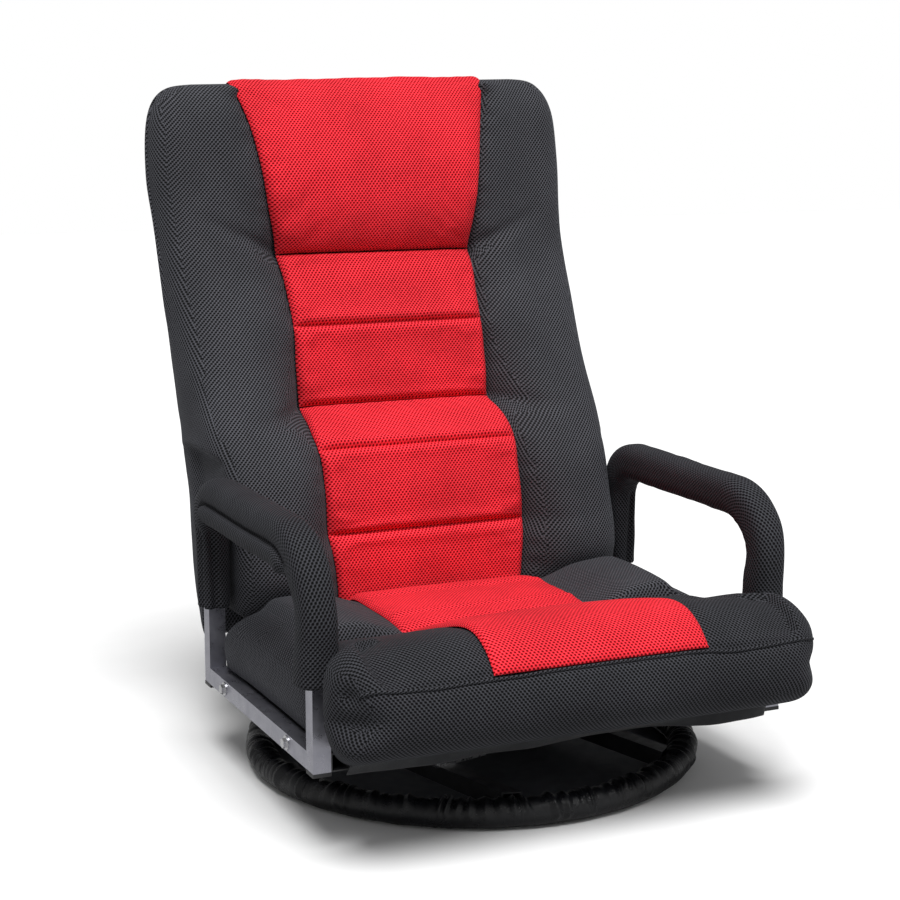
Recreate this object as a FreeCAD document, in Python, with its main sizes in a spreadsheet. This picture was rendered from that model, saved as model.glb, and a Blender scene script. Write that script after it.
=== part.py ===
import FreeCAD, Part
import os
import math
import Sketcher
from FreeCAD import Vector, Placement, Rotation

# Floor chair: covered swivel ring, padded seat with bolted arm hoops, and a
# reclining padded back on two ratchet hinges.
# Frame: +Z up, the chair faces -Y, origin on the floor on the swivel axis. Millimetres.

os.makedirs("parts", exist_ok=True)
doc = FreeCAD.newDocument("floor_chair")
sheet = doc.addObject("Spreadsheet::Sheet", "dims")

DIMS = [
    # base ring and its cover
    ("base_turn", 14.2), ("ring_major", 251.8), ("ring_tube", 15.0), ("ring_wall", 1.5), ("ring_height", 17.7),
    ("cover_outer", 17.7), ("cover_inner", 15.2), ("panel_radius", 243.0), ("panel_thick", 1.6),
    ("bar_size", 20.0), ("bar_wall", 1.5), ("bar_offset", 115.0), ("bar_top", 36.0), ("bar_length", 470.0),
    # swivel bearing
    ("plate_thick", 2.5), ("lower_plate_wide", 260.0), ("lower_plate_long", 200.0), ("upper_plate_side", 196.0),
    ("plate_bore", 35.0), ("race_radius", 75.0), ("race_half", 9.0), ("race_tall", 3.5), ("ball_radius", 3.5),
    ("ball_groove", 3.55), ("ball_count", 20.0), ("ball_height", 43.0), ("upper_race_low", 44.0),
    ("bolt_radius", 3.0), ("bolt_hole", 3.2), ("bolt_head_across", 10.0), ("bolt_head_tall", 4.0),
    ("base_bolt_y", 80.0), ("seat_bolt_xy", 80.0), ("plate_bolt_long", 11.0),
    # seat frame
    ("tube", 20.0), ("tube_wall", 1.5), ("frame_low", 85.8), ("mount_bar_tall", 35.8), ("mount_bar_long", 237.0),
    ("mount_bar_y", 6.5), ("side_tube_x", 254.4), ("side_tube_long", 350.0), ("side_tube_y", -50.0),
    ("front_tube_y", -215.0), ("middle_tube_y", -95.0), ("rear_tube_y", 115.0), ("cross_tube_long", 488.8),
    ("strap_thick", 2.0), ("strap_wide", 40.0), ("seat_strap_long", 348.0), ("seat_strap_pitch", 80.0),
    # seat padding
    ("seat_half", 258.0), ("seat_low", 108.2), ("seat_front", -79.5), ("rise_rear", -80.5), ("roll_rear", -240.0), ("seat_rear", 97.0), ("seat_top", 180.0),
    ("bolster_half", 287.0), ("dust_wide", 470.0), ("dust_long", 125.0), ("dust_thick", 1.6), ("dust_y", -179.5),
    # arms
    ("arm_x", 274.4), ("arm_front_y", -215.2), ("arm_rear_y", 133.4), ("arm_top", 318.0), ("arm_front_bend", 80.0),
    ("arm_rear_bend", 45.0), ("sleeve_low", 181.6), ("sleeve_wide", 38.0), ("sleeve_deep", 44.0), ("sleeve_round", 13.0),
    ("sleeve_bore", 20.6), ("cap_tall", 4.2), ("cap_insert", 16.6), ("cap_insert_tall", 12.0),
    ("arm_bolt_rear_y", 68.6), ("arm_bolt_front_y", -144.4), ("washer_radius", 8.0), ("washer_thick", 1.2),
    ("nut_tall", 5.0), ("arm_bolt_long", 47.5),
    # recline hinge
    ("pivot_y", 185.0), ("pivot_z", 126.0), ("hinge_x", 205.0), ("hinge_plate_thick", 3.0), ("hinge_gap", 7.0),
    ("pin_radius", 5.0), ("pin_hole", 5.02), ("ratchet_hole", 5.05), ("pin_head", 8.0), ("pin_head_thick", 2.5),
    ("ratchet_thick", 6.0), ("ratchet_tip", 26.0), ("ratchet_root", 20.5), ("ratchet_teeth", 30.0),
    ("ratchet_arm_wide", 22.0), ("ratchet_arm_long", 135.0), ("pawl_thick", 3.2), ("pawl_pin_radius", 3.0),
    ("pawl_hole", 3.05), ("pawl_pin_hole", 3.02), ("pawl_pin_reach", 37.0), ("pawl_pin_angle", 245.0),
    ("pawl_nose_angle", 200.0), ("spring_eye", 3.4), ("spring_wire", 1.2), ("spring_thick", 1.6),
    # back frame
    ("back_tilt", 15.0), ("hoop_tube", 9.5), ("hoop_wall", 1.5), ("hoop_x", 192.2), ("hoop_low", 60.0), ("hoop_top", 640.0),
    ("hoop_bend", 60.0), ("back_tube", 8.0), ("back_tube_wall", 1.2), ("back_lower_up", 150.0), ("back_upper_up", 430.0),
    ("back_strap_long", 360.0), ("back_strap_wide", 45.0), ("back_strap_thick", 1.6), ("room", 0.4),
    # back padding
    ("back_half_low", 252.0), ("back_half_top", 281.5), ("pad_half", 175.0), ("rear_panel_thick", 1.5),
]
for row, (name, value) in enumerate(DIMS, 1):
    sheet.set("A%d" % row, name)
    sheet.set("B%d" % row, repr(value))
    sheet.setAlias("B%d" % row, name)
doc.recompute()


def dim(name):
    return float(sheet.get(name))


NODES = []


def node(obj, label):
    obj.Label = label
    NODES.append(obj)
    return obj


def put(obj, x=0.0, y=0.0, z=0.0, rot=None):
    obj.Placement = Placement(Vector(x, y, z), rot or Rotation())
    return obj


def bind(obj, **sizes):
    for prop, text in sizes.items():
        obj.setExpression(prop, text)
    return obj


def box(length, width, height, x=0.0, y=0.0, z=0.0, rot=None):
    """Box centred on x and y in its own frame, standing on z."""
    obj = doc.addObject("Part::Box", "box")
    bind(obj, Length=length, Width=width, Height=height)
    doc.recompute([obj])
    turn = rot or Rotation()
    shift = turn.multVec(Vector(-obj.Length.Value / 2, -obj.Width.Value / 2, 0))
    return put(obj, x + shift.x, y + shift.y, z + shift.z, turn)


def rod(radius, height, x=0.0, y=0.0, z=0.0, rot=None):
    obj = doc.addObject("Part::Cylinder", "rod")
    bind(obj, Radius=radius, Height=height)
    return put(obj, x, y, z, rot)


def ring(major, minor, z):
    obj = doc.addObject("Part::Torus", "ring")
    bind(obj, Radius1=major, Radius2=minor)
    return put(obj, 0, 0, z)


def cut(base, *tools):
    for tool in tools:
        obj = doc.addObject("Part::Cut", "cut")
        obj.Base = base
        obj.Tool = tool
        base = obj
    return base


def fuse(*shapes):
    base = shapes[0]
    for tool in shapes[1:]:
        obj = doc.addObject("Part::Fuse", "fuse")
        obj.Base = base
        obj.Tool = tool
        base = obj
    return base


def group(*shapes):
    obj = doc.addObject("Part::Compound", "group")
    obj.Links = list(shapes)
    return obj


def new_body(name):
    return doc.addObject("PartDesign::Body", name)


def sketch(body, role, name):
    sk = body.newObject("Sketcher::SketchObject", name)
    for feature in body.Origin.OriginFeatures:
        if feature.Role == role:
            sk.AttachmentSupport = [(feature, "")]
    sk.MapMode = "FlatFace"
    return sk


def lock(sk, constraint, text):
    index = sk.addConstraint(constraint)
    label = "size_%d" % index
    sk.renameConstraint(index, label)
    sk.setExpression("Constraints." + label, text)


def rect(sk, wide, deep, w, d):
    """Rectangle centred on the sketch origin, its two sizes bound to the sheet."""
    n = sk.GeometryCount
    pts = [Vector(-w / 2, -d / 2), Vector(w / 2, -d / 2), Vector(w / 2, d / 2), Vector(-w / 2, d / 2)]
    for i in range(4):
        sk.addGeometry(Part.LineSegment(pts[i], pts[(i + 1) % 4]), False)
    for i in range(4):
        sk.addConstraint(Sketcher.Constraint("Coincident", n + i, 2, n + (i + 1) % 4, 1))
    for i, kind in enumerate(("Horizontal", "Vertical", "Horizontal", "Vertical")):
        sk.addConstraint(Sketcher.Constraint(kind, n + i))
    sk.addConstraint(Sketcher.Constraint("Symmetric", n, 1, n + 2, 1, -1, 1))
    lock(sk, Sketcher.Constraint("DistanceX", n, 1, n, 2, w), wide)
    lock(sk, Sketcher.Constraint("DistanceY", n + 1, 1, n + 1, 2, d), deep)


def round_rect(sk, wide, deep, round_text, w, d, r):
    """Rectangle with rounded corners, centred on the sketch origin."""
    n = sk.GeometryCount
    hw, hd = w / 2, d / 2
    sk.addGeometry(Part.LineSegment(Vector(-hw + r, -hd), Vector(hw - r, -hd)), False)
    sk.addGeometry(Part.LineSegment(Vector(hw, -hd + r), Vector(hw, hd - r)), False)
    sk.addGeometry(Part.LineSegment(Vector(hw - r, hd), Vector(-hw + r, hd)), False)
    sk.addGeometry(Part.LineSegment(Vector(-hw, hd - r), Vector(-hw, -hd + r)), False)
    up = Vector(0, 0, 1)
    for (cx, cy), a in (((hw - r, -hd + r), 270), ((hw - r, hd - r), 0), ((-hw + r, hd - r), 90), ((-hw + r, -hd + r), 180)):
        sk.addGeometry(Part.ArcOfCircle(Part.Circle(Vector(cx, cy), up, r), math.radians(a), math.radians(a + 90)), False)
    for i in range(4):
        sk.addConstraint(Sketcher.Constraint("Tangent", n + i, 2, n + 4 + i, 1))
        sk.addConstraint(Sketcher.Constraint("Tangent", n + 4 + i, 2, n + (i + 1) % 4, 1))
    sk.addConstraint(Sketcher.Constraint("Horizontal", n))
    sk.addConstraint(Sketcher.Constraint("Vertical", n + 1))
    for i in range(1, 4):
        sk.addConstraint(Sketcher.Constraint("Equal", n + 4, n + 4 + i))
    lock(sk, Sketcher.Constraint("Radius", n + 4, r), round_text)
    sk.addConstraint(Sketcher.Constraint("Symmetric", n, 1, n + 2, 1, -1, 1))
    lock(sk, Sketcher.Constraint("Distance", n, w - 2 * r), "%s - 2*%s" % (wide, round_text))
    lock(sk, Sketcher.Constraint("Distance", n + 1, d - 2 * r), "%s - 2*%s" % (deep, round_text))


def outline(sk, pts):
    """Closed outline of straight edges through the points, held where it is drawn."""
    n = sk.GeometryCount
    pts = [Vector(a, b, 0) for a, b in pts]
    for i in range(len(pts)):
        sk.addGeometry(Part.LineSegment(pts[i], pts[(i + 1) % len(pts)]), False)
    for i in range(len(pts)):
        sk.addConstraint(Sketcher.Constraint("Coincident", n + i, 2, n + (i + 1) % len(pts), 1))


def hole(sk, x, y, text):
    n = sk.addGeometry(Part.Circle(Vector(x, y, 0), Vector(0, 0, 1), 1.0), False)
    lock(sk, Sketcher.Constraint("Radius", n, 1.0), text)


def pad(body, sk, length, both=True):
    obj = body.newObject("PartDesign::Pad", "pad")
    obj.Profile = sk
    obj.Midplane = both
    obj.setExpression("Length", length)
    return obj


def straight_tube(name, wide, deep, wall, length):
    """Rectangular tube along its own Z, centred on its middle."""
    body = new_body(name)
    sk = sketch(body, "XY_Plane", name + "_section")
    w, d, s = (float(sheet.get(k)) for k in (wide, deep, wall))
    rect(sk, "dims." + wide, "dims." + deep, w, d)
    rect(sk, "dims.%s - 2*dims.%s" % (wide, wall), "dims.%s - 2*dims.%s" % (deep, wall), w - 2 * s, d - 2 * s)
    pad(body, sk, length)
    return body


ALONG_X = Rotation(Vector(0, 1, 0), 90)
ALONG_Y = Rotation(Vector(1, 0, 0), -90)
base_rot = Rotation(Vector(0, 0, 1), dim("base_turn"))


def turned(x, y, z=0.0):
    return base_rot.multVec(Vector(x, y, z))


# ---------------------------------------------------------------- base
node(cut(ring("dims.ring_major", "dims.ring_tube", dim("ring_height")),
         ring("dims.ring_major", "dims.ring_tube - dims.ring_wall", dim("ring_height"))), "base_ring")

node(rod("dims.panel_radius", "dims.panel_thick"), "base_floor_panel")

for side, sign in (("left", -1), ("right", 1)):
    p = turned(sign * dim("bar_offset"), 0)
    low = dim("bar_top") - dim("bar_size")
    outer = box("dims.bar_size", "dims.bar_length", "dims.bar_size", p.x, p.y, low, base_rot)
    inner = box("dims.bar_size - 2*dims.bar_wall", "dims.bar_length + 2", "dims.bar_size - 2*dims.bar_wall",
                p.x, p.y, low + dim("bar_wall"), base_rot)
    # the ends are coped to the ring and stop inside its cover
    cope = ring("dims.ring_major", "dims.ring_tube + 0.05", dim("ring_height"))
    past = cut(rod("dims.ring_major + 80", "dims.bar_size + 20", 0, 0, low - 10),
               rod("dims.ring_major - dims.ring_tube + 4", "dims.bar_size + 30", 0, 0, low - 15))
    tools = [inner, cope, past]
    for sy in (-1, 1):
        q = turned(sign * dim("bar_offset"), sy * dim("base_bolt_y"))
        tools.append(rod("dims.bolt_radius + 0.05", "dims.bar_wall + 2", q.x, q.y, dim("bar_top") - dim("bar_wall") - 1))
    node(cut(outer, *tools), "base_crossbar_" + side)

# gathered cover: an open C section turned round the ring, slotted for the crossbars
cover_body = new_body("cover_shell")
sk = sketch(cover_body, "XZ_Plane", "cover_section")
a0, a1 = math.radians(-115), math.radians(165)
centre = Vector(dim("ring_major"), dim("ring_height"), 0)
n0 = sk.addGeometry(Part.ArcOfCircle(Part.Circle(centre, Vector(0, 0, 1), dim("cover_outer")), a0, a1), False)
n1 = sk.addGeometry(Part.ArcOfCircle(Part.Circle(centre, Vector(0, 0, 1), dim("cover_inner")), a0, a1), False)
ends = [[centre + Vector(r * math.cos(a), r * math.sin(a), 0) for r in (dim("cover_outer"), dim("cover_inner"))] for a in (a0, a1)]
n2 = sk.addGeometry(Part.LineSegment(ends[0][0], ends[0][1]), False)
n3 = sk.addGeometry(Part.LineSegment(ends[1][0], ends[1][1]), False)
sk.addConstraint(Sketcher.Constraint("Coincident", n0, 1, n2, 1))
sk.addConstraint(Sketcher.Constraint("Coincident", n1, 1, n2, 2))
sk.addConstraint(Sketcher.Constraint("Coincident", n0, 2, n3, 1))
sk.addConstraint(Sketcher.Constraint("Coincident", n1, 2, n3, 2))
lock(sk, Sketcher.Constraint("Radius", n0, dim("cover_outer")), "dims.cover_outer")
lock(sk, Sketcher.Constraint("Radius", n1, dim("cover_inner")), "dims.cover_inner")
rev = cover_body.newObject("PartDesign::Revolution", "cover_turn")
rev.Profile = sk
rev.ReferenceAxis = (sk, ["V_Axis"])
rev.Angle = 360
slots = []
for sign in (-1, 1):
    p = turned(sign * dim("bar_offset"), 0)
    slots.append(box("dims.bar_size + 2", "2*dims.ring_major - 4", "dims.bar_size + 2", p.x, p.y, dim("bar_top") - dim("bar_size") - 1, base_rot))
node(cut(cover_body, *slots), "base_cover")

# ---------------------------------------------------------------- swivel bearing
z0 = dim("bar_top")
z1 = z0 + dim("plate_thick")
lower = fuse(box("dims.lower_plate_wide", "dims.lower_plate_long", "dims.plate_thick", 0, 0, z0, base_rot),
             rod("dims.race_radius + dims.race_half", "dims.race_tall", 0, 0, z1))
tools = [rod("dims.plate_bore", "dims.plate_thick + 2", 0, 0, z0 - 1),
         rod("dims.race_radius - dims.race_half", "dims.race_tall + 1", 0, 0, z1),
         ring("dims.race_radius", "dims.ball_groove", dim("ball_height"))]
for sx in (-1, 1):
    for sy in (-1, 1):
        q = turned(sx * dim("bar_offset"), sy * dim("base_bolt_y"))
        tools.append(rod("dims.bolt_hole", "dims.plate_thick + 2", q.x, q.y, z0 - 1))
node(cut(lower, *tools), "swivel_lower_plate")

balls = []
for i in range(int(dim("ball_count"))):
    a = 2 * math.pi * i / dim("ball_count")
    ball = doc.addObject("Part::Sphere", "ball")
    bind(ball, Radius="dims.ball_radius")
    balls.append(put(ball, dim("race_radius") * math.cos(a), dim("race_radius") * math.sin(a), dim("ball_height")))
node(group(*balls), "swivel_balls")

z2 = dim("upper_race_low")
z3 = z2 + dim("race_tall")
upper = fuse(box("dims.upper_plate_side", "dims.upper_plate_side", "dims.plate_thick", 0, 0, z3),
             rod("dims.race_radius + dims.race_half", "dims.race_tall", 0, 0, z2))
tools = [rod("dims.plate_bore", "dims.plate_thick + 2", 0, 0, z3 - 1),
         rod("dims.race_radius - dims.race_half", "dims.race_tall + 1", 0, 0, z2 - 1),
         ring("dims.race_radius", "dims.ball_groove", dim("ball_height"))]
for sx in (-1, 1):
    for sy in (-1, 1):
        tools.append(rod("dims.bolt_hole", "dims.plate_thick + 2", sx * dim("seat_bolt_xy"), sy * dim("seat_bolt_xy"), z3 - 1))
node(cut(upper, *tools), "swivel_upper_plate")


def hex_bolt(x, y, z, up, length, turn=0.0):
    """Hex bolt with its bearing face at z; the shank runs up or down from there."""
    head = doc.addObject("Part::Prism", "head")
    head.Polygon = 6
    bind(head, Circumradius="dims.bolt_head_across / sqrt(3)", Height="dims.bolt_head_tall")
    put(head, x, y, z - dim("bolt_head_tall") if up else z, Rotation(Vector(0, 0, 1), turn))
    shank = rod("dims.bolt_radius", length, x, y, z if up else z - dim("plate_bolt_long"))
    return fuse(head, shank)


bolts = []
for sx in (-1, 1):
    for sy in (-1, 1):
        q = turned(sx * dim("bar_offset"), sy * dim("base_bolt_y"))
        bolts.append(hex_bolt(q.x, q.y, z1, False, "dims.plate_bolt_long"))
node(group(*bolts), "swivel_base_bolts")
bolts = []
for sx in (-1, 1):
    for sy in (-1, 1):
        bolts.append(hex_bolt(sx * dim("seat_bolt_xy"), sy * dim("seat_bolt_xy"), z3, True, "dims.plate_bolt_long"))
node(group(*bolts), "swivel_seat_bolts")

# ---------------------------------------------------------------- seat frame
frame_mid = dim("frame_low") + dim("tube") / 2
for side, sign in (("left", -1), ("right", 1)):
    bar = straight_tube("mount_bar_" + side, "tube", "mount_bar_tall", "tube_wall", "dims.mount_bar_long")
    put(bar, sign * dim("seat_bolt_xy"), dim("mount_bar_y"), dim("frame_low") - dim("mount_bar_tall") / 2, ALONG_Y)
    holes = [rod("dims.bolt_radius + 0.05", "dims.tube_wall + 2", sign * dim("seat_bolt_xy"), sy * dim("seat_bolt_xy"),
                 dim("frame_low") - dim("mount_bar_tall") - 1) for sy in (-1, 1)]
    node(cut(bar, *holes), "seat_mount_bar_" + side)

    tube = straight_tube("side_tube_" + side, "tube", "tube", "tube_wall", "dims.side_tube_long")
    put(tube, sign * dim("side_tube_x"), dim("side_tube_y"), frame_mid, ALONG_Y)
    holes = [rod("dims.bolt_hole", "dims.tube + 2", sign * dim("side_tube_x") - dim("tube") / 2 - 1, dim(k), frame_mid, ALONG_X)
             for k in ("arm_bolt_rear_y", "arm_bolt_front_y")]
    node(cut(tube, *holes), "seat_side_tube_" + side)

for name, key in (("seat_front_tube", "front_tube_y"), ("seat_middle_tube", "middle_tube_y"), ("seat_rear_tube", "rear_tube_y")):
    tube = straight_tube(name + "_body", "tube", "tube", "tube_wall", "dims.cross_tube_long")
    node(put(tube, 0, dim(key), frame_mid, ALONG_X), name)

frame_top = dim("frame_low") + dim("tube")
straps = [box("dims.strap_wide", "dims.seat_strap_long", "dims.strap_thick", i * dim("seat_strap_pitch"),
              dim("side_tube_y"), frame_top) for i in (-2, -1, 0, 1, 2)]
node(group(*straps), "seat_webbing")

# ---------------------------------------------------------------- seat padding
def profile_pad(name, role, pts, length):
    """One outline padded to both sides of its plane."""
    body = new_body(name)
    sk = sketch(body, role, name + "_outline")
    outline(sk, pts)
    pad(body, sk, length)
    return body


def both_sides(pts):
    """The outline's right half, mirrored to the left."""
    return [(-x, z) for x, z in pts] + [(x, z) for x, z in reversed(pts)]


def common(*shapes):
    base = shapes[0]
    for tool in shapes[1:]:
        obj = doc.addObject("Part::Common", "common")
        obj.Base = base
        obj.Tool = tool
        base = obj
    return base


f, r, b, t, h = dim("seat_front"), dim("seat_rear"), dim("seat_low"), dim("seat_top"), dim("seat_half")
# rear part: a flat middle between two raised sides
rear_side = profile_pad("seat_side", "YZ_Plane", [(f, b), (r - 14, b), (r - 2, b + 14), (r, t - 32), (r - 8, t - 10), (r - 20, t + 3),
                                                 (r - 36, t + 13), (r - 60, t + 17), (-40, t + 17), (-64, t + 13), (f, t + 4)], "2*dims.seat_half")
rear_across = profile_pad("seat_across", "XZ_Plane", both_sides([(h, b), (h, t - 8), (h - 5, t + 6), (h - 18, t + 14), (h - 40, t + 17),
                                                                 (h - 70, t + 14), (h - 128, t + 2)]), "900")
node(common(rear_side, rear_across), "seat_cushion")

# front part: a rise between the arms and a wider roll in front of them
q, k = dim("rise_rear"), dim("roll_rear")
rise_side = profile_pad("seat_rise_side", "YZ_Plane", [(k, b), (q, b), (q, t + 1), (-110, t + 11), (-160, t + 26), (-220, t + 45), (k, t + 47)], "2*dims.seat_half")
rise_across = profile_pad("seat_rise_across", "XZ_Plane", both_sides([(h - 4, b), (h - 4, t + 10), (h - 14, t + 24), (h - 50, t + 36), (h - 124, t + 50)]), "900")
hb = dim("bolster_half")
roll_side = profile_pad("seat_roll_side", "YZ_Plane", [(k, 108.2), (-282, 108.2), (-306, 117), (-324, 133), (-335, 154), (-338, 174), (-335, 190),
                                                      (-328, 202), (-314, 216), (-298, 226), (-278, 231), (-258, 231), (k, t + 47)], "2*dims.bolster_half")
roll_plan = profile_pad("seat_roll_plan", "XY_Plane", [(-hb, k), (-hb, -290), (-hb + 8, -316), (-hb + 26, -332), (-hb + 60, -339), (hb - 60, -339),
                                                      (hb - 26, -332), (hb - 8, -316), (hb, -290), (hb, k)], "900")
roll_across = profile_pad("seat_roll_across", "XZ_Plane", both_sides([(hb, 100), (hb, 180), (hb - 5, 200), (hb - 19, 212), (hb - 42, 219), (hb - 87, 225),
                                                                      (hb - 160, 232)]), "900")
node(fuse(common(rise_side, rise_across), common(roll_side, roll_plan, roll_across)), "seat_front_bolster")

node(box("dims.dust_wide", "dims.dust_long", "dims.dust_thick", 0, dim("dust_y"), dim("frame_low") - dim("dust_thick") - 0.4), "seat_dust_cover")

# ---------------------------------------------------------------- arms
span = dim("arm_rear_y") - dim("arm_front_y")


def arm_path(sk, low):
    """Inverted U: front upright, wide front bend, level top, tighter rear bend, rear upright."""
    rf, rr = dim("arm_front_bend"), dim("arm_rear_bend")
    top = dim("arm_top") - low
    up = Vector(0, 0, 1)
    sk.addGeometry(Part.LineSegment(Vector(0, 0), Vector(0, top - rf)), False)
    sk.addGeometry(Part.ArcOfCircle(Part.Circle(Vector(rf, top - rf), up, rf), math.pi / 2, math.pi), False)
    sk.addGeometry(Part.LineSegment(Vector(rf, top), Vector(span - rr, top)), False)
    sk.addGeometry(Part.ArcOfCircle(Part.Circle(Vector(span - rr, top - rr), up, rr), 0, math.pi / 2), False)
    sk.addGeometry(Part.LineSegment(Vector(span, top - rr), Vector(span, 0)), False)
    sk.addConstraint(Sketcher.Constraint("Tangent", 0, 2, 1, 2))
    sk.addConstraint(Sketcher.Constraint("Tangent", 1, 1, 2, 1))
    sk.addConstraint(Sketcher.Constraint("Tangent", 2, 2, 3, 2))
    sk.addConstraint(Sketcher.Constraint("Tangent", 3, 1, 4, 1))
    sk.addConstraint(Sketcher.Constraint("Vertical", 0))
    sk.addConstraint(Sketcher.Constraint("Horizontal", 2))
    sk.addConstraint(Sketcher.Constraint("Vertical", 4))
    sk.addConstraint(Sketcher.Constraint("Coincident", 0, 1, -1, 1))
    sk.addConstraint(Sketcher.Constraint("PointOnObject", 4, 2, -1))
    lock(sk, Sketcher.Constraint("Radius", 1, rf), "dims.arm_front_bend")
    lock(sk, Sketcher.Constraint("Radius", 3, rr), "dims.arm_rear_bend")
    lock(sk, Sketcher.Constraint("DistanceX", 0, 1, 4, 2, span), "dims.arm_rear_y - dims.arm_front_y")
    return sk


def bent(name, low, low_text, section):
    body = new_body(name)
    profile = sketch(body, "XY_Plane", name + "_section")
    section(profile)
    path = arm_path(sketch(body, "YZ_Plane", name + "_path"), low)
    lock(path, Sketcher.Constraint("DistanceY", 0, 1, 2, 1, dim("arm_top") - low), "dims.arm_top - " + low_text)
    pipe = body.newObject("PartDesign::AdditivePipe", name + "_pipe")
    pipe.Profile = profile
    pipe.Spine = (path, ["Edge%d" % i for i in range(1, 6)])
    return body


def tube_section(sk):
    s, w = dim("tube"), dim("tube_wall")
    rect(sk, "dims.tube", "dims.tube", s, s)
    rect(sk, "dims.tube - 2*dims.tube_wall", "dims.tube - 2*dims.tube_wall", s - 2 * w, s - 2 * w)


def sleeve_section(sk):
    round_rect(sk, "dims.sleeve_wide", "dims.sleeve_deep", "dims.sleeve_round", dim("sleeve_wide"), dim("sleeve_deep"), dim("sleeve_round"))
    rect(sk, "dims.sleeve_bore", "dims.sleeve_bore", dim("sleeve_bore"), dim("sleeve_bore"))


caps, arm_bolts, washers, nuts = [], [], [], []
for side, sign in (("left", -1), ("right", 1)):
    x = sign * dim("arm_x")
    hoop = bent("arm_hoop_body_" + side, dim("frame_low"), "dims.frame_low", tube_section)
    node(put(hoop, x, dim("arm_front_y"), dim("frame_low")), "arm_hoop_" + side)
    sleeve = bent("arm_sleeve_body_" + side, dim("sleeve_low"), "dims.sleeve_low", sleeve_section)
    node(put(sleeve, x, dim("arm_front_y"), dim("sleeve_low")), "arm_sleeve_" + side)

    rail = straight_tube("arm_rail_body_" + side, "tube", "tube", "tube_wall", "dims.arm_rear_y - dims.arm_front_y - dims.tube")
    put(rail, x, (dim("arm_rear_y") + dim("arm_front_y")) / 2, frame_mid, ALONG_Y)
    holes = [rod("dims.bolt_hole", "dims.tube + 2", x - dim("tube") / 2 - 1, dim(k), frame_mid, ALONG_X)
             for k in ("arm_bolt_rear_y", "arm_bolt_front_y")]
    node(cut(rail, *holes), "arm_rail_" + side)

    for y in (dim("arm_front_y"), dim("arm_rear_y")):
        caps.append(fuse(box("dims.tube + 0.6", "dims.tube + 0.6", "dims.cap_tall", x, y, dim("frame_low") - dim("cap_tall")),
                         box("dims.cap_insert", "dims.cap_insert", "dims.cap_insert_tall", x, y, dim("frame_low"))))
    outward = Rotation(Vector(0, 1, 0), sign * 90)
    face = sign * (dim("arm_x") + dim("tube") / 2)
    inner_face = sign * (dim("side_tube_x") - dim("tube") / 2)
    for key in ("arm_bolt_rear_y", "arm_bolt_front_y"):
        y = dim(key)
        washers.append(cut(rod("dims.washer_radius", "dims.washer_thick", face, y, frame_mid, outward),
                           rod("dims.bolt_hole", "dims.washer_thick + 2", face - sign, y, frame_mid, outward)))
        head = doc.addObject("Part::Prism", "head")
        head.Polygon = 6
        bind(head, Circumradius="dims.bolt_head_across / sqrt(3)", Height="dims.bolt_head_tall")
        put(head, face + sign * dim("washer_thick"), y, frame_mid, outward)
        shank = rod("dims.bolt_radius", "dims.arm_bolt_long", face + sign * dim("washer_thick"), y, frame_mid,
                    Rotation(Vector(0, 1, 0), -sign * 90))
        arm_bolts.append(fuse(head, shank))
        nut = doc.addObject("Part::Prism", "nut")
        nut.Polygon = 6
        bind(nut, Circumradius="dims.bolt_head_across / sqrt(3)", Height="dims.nut_tall")
        put(nut, inner_face, y, frame_mid, Rotation(Vector(0, 1, 0), -sign * 90))
        nuts.append(cut(nut, rod("dims.bolt_radius + 0.05", "dims.nut_tall + 2", inner_face + sign, y, frame_mid, Rotation(Vector(0, 1, 0), -sign * 90))))
node(group(*caps), "arm_end_caps")
node(group(*arm_bolts), "arm_bolts")
node(group(*washers), "arm_washers")
node(group(*nuts), "arm_nuts")

# ---------------------------------------------------------------- recline hinges
py, pz = dim("pivot_y"), dim("pivot_z")


def polar(r, a):
    return (py + r * math.cos(math.radians(a)), pz + r * math.sin(math.radians(a)))


pawl_pin = polar(dim("pawl_pin_reach"), dim("pawl_pin_angle"))
rear_face = dim("rear_tube_y") + dim("tube") / 2
plate_outline = [(rear_face, 86), (rear_face, 105.8), (158, 148), (171, 155), (185, 157.5), (199, 155), (210, 146), (215, 132),
                 (214, 115), (204, 100), (190, 86), (174, 82.5), (150, 82.5)]
nose = dim("pawl_nose_angle")
pawl_outline = [polar(20.9, nose), polar(27.2, nose + 4.6), polar(31.5, 240), polar(42.5, 247), polar(37, 215), polar(34, 198), polar(27.2, nose - 4.6)]
pitch = 360.0 / dim("ratchet_teeth")
teeth = []
for i in range(int(dim("ratchet_teeth"))):
    a = nose + i * pitch
    teeth += [(dim("ratchet_root"), a - 0.5), (dim("ratchet_root"), a + 0.5),
              (dim("ratchet_tip"), a + pitch / 2 - 0.9), (dim("ratchet_tip"), a + pitch / 2 + 0.9)]
up_back = 90.0 - dim("back_tilt")

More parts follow.
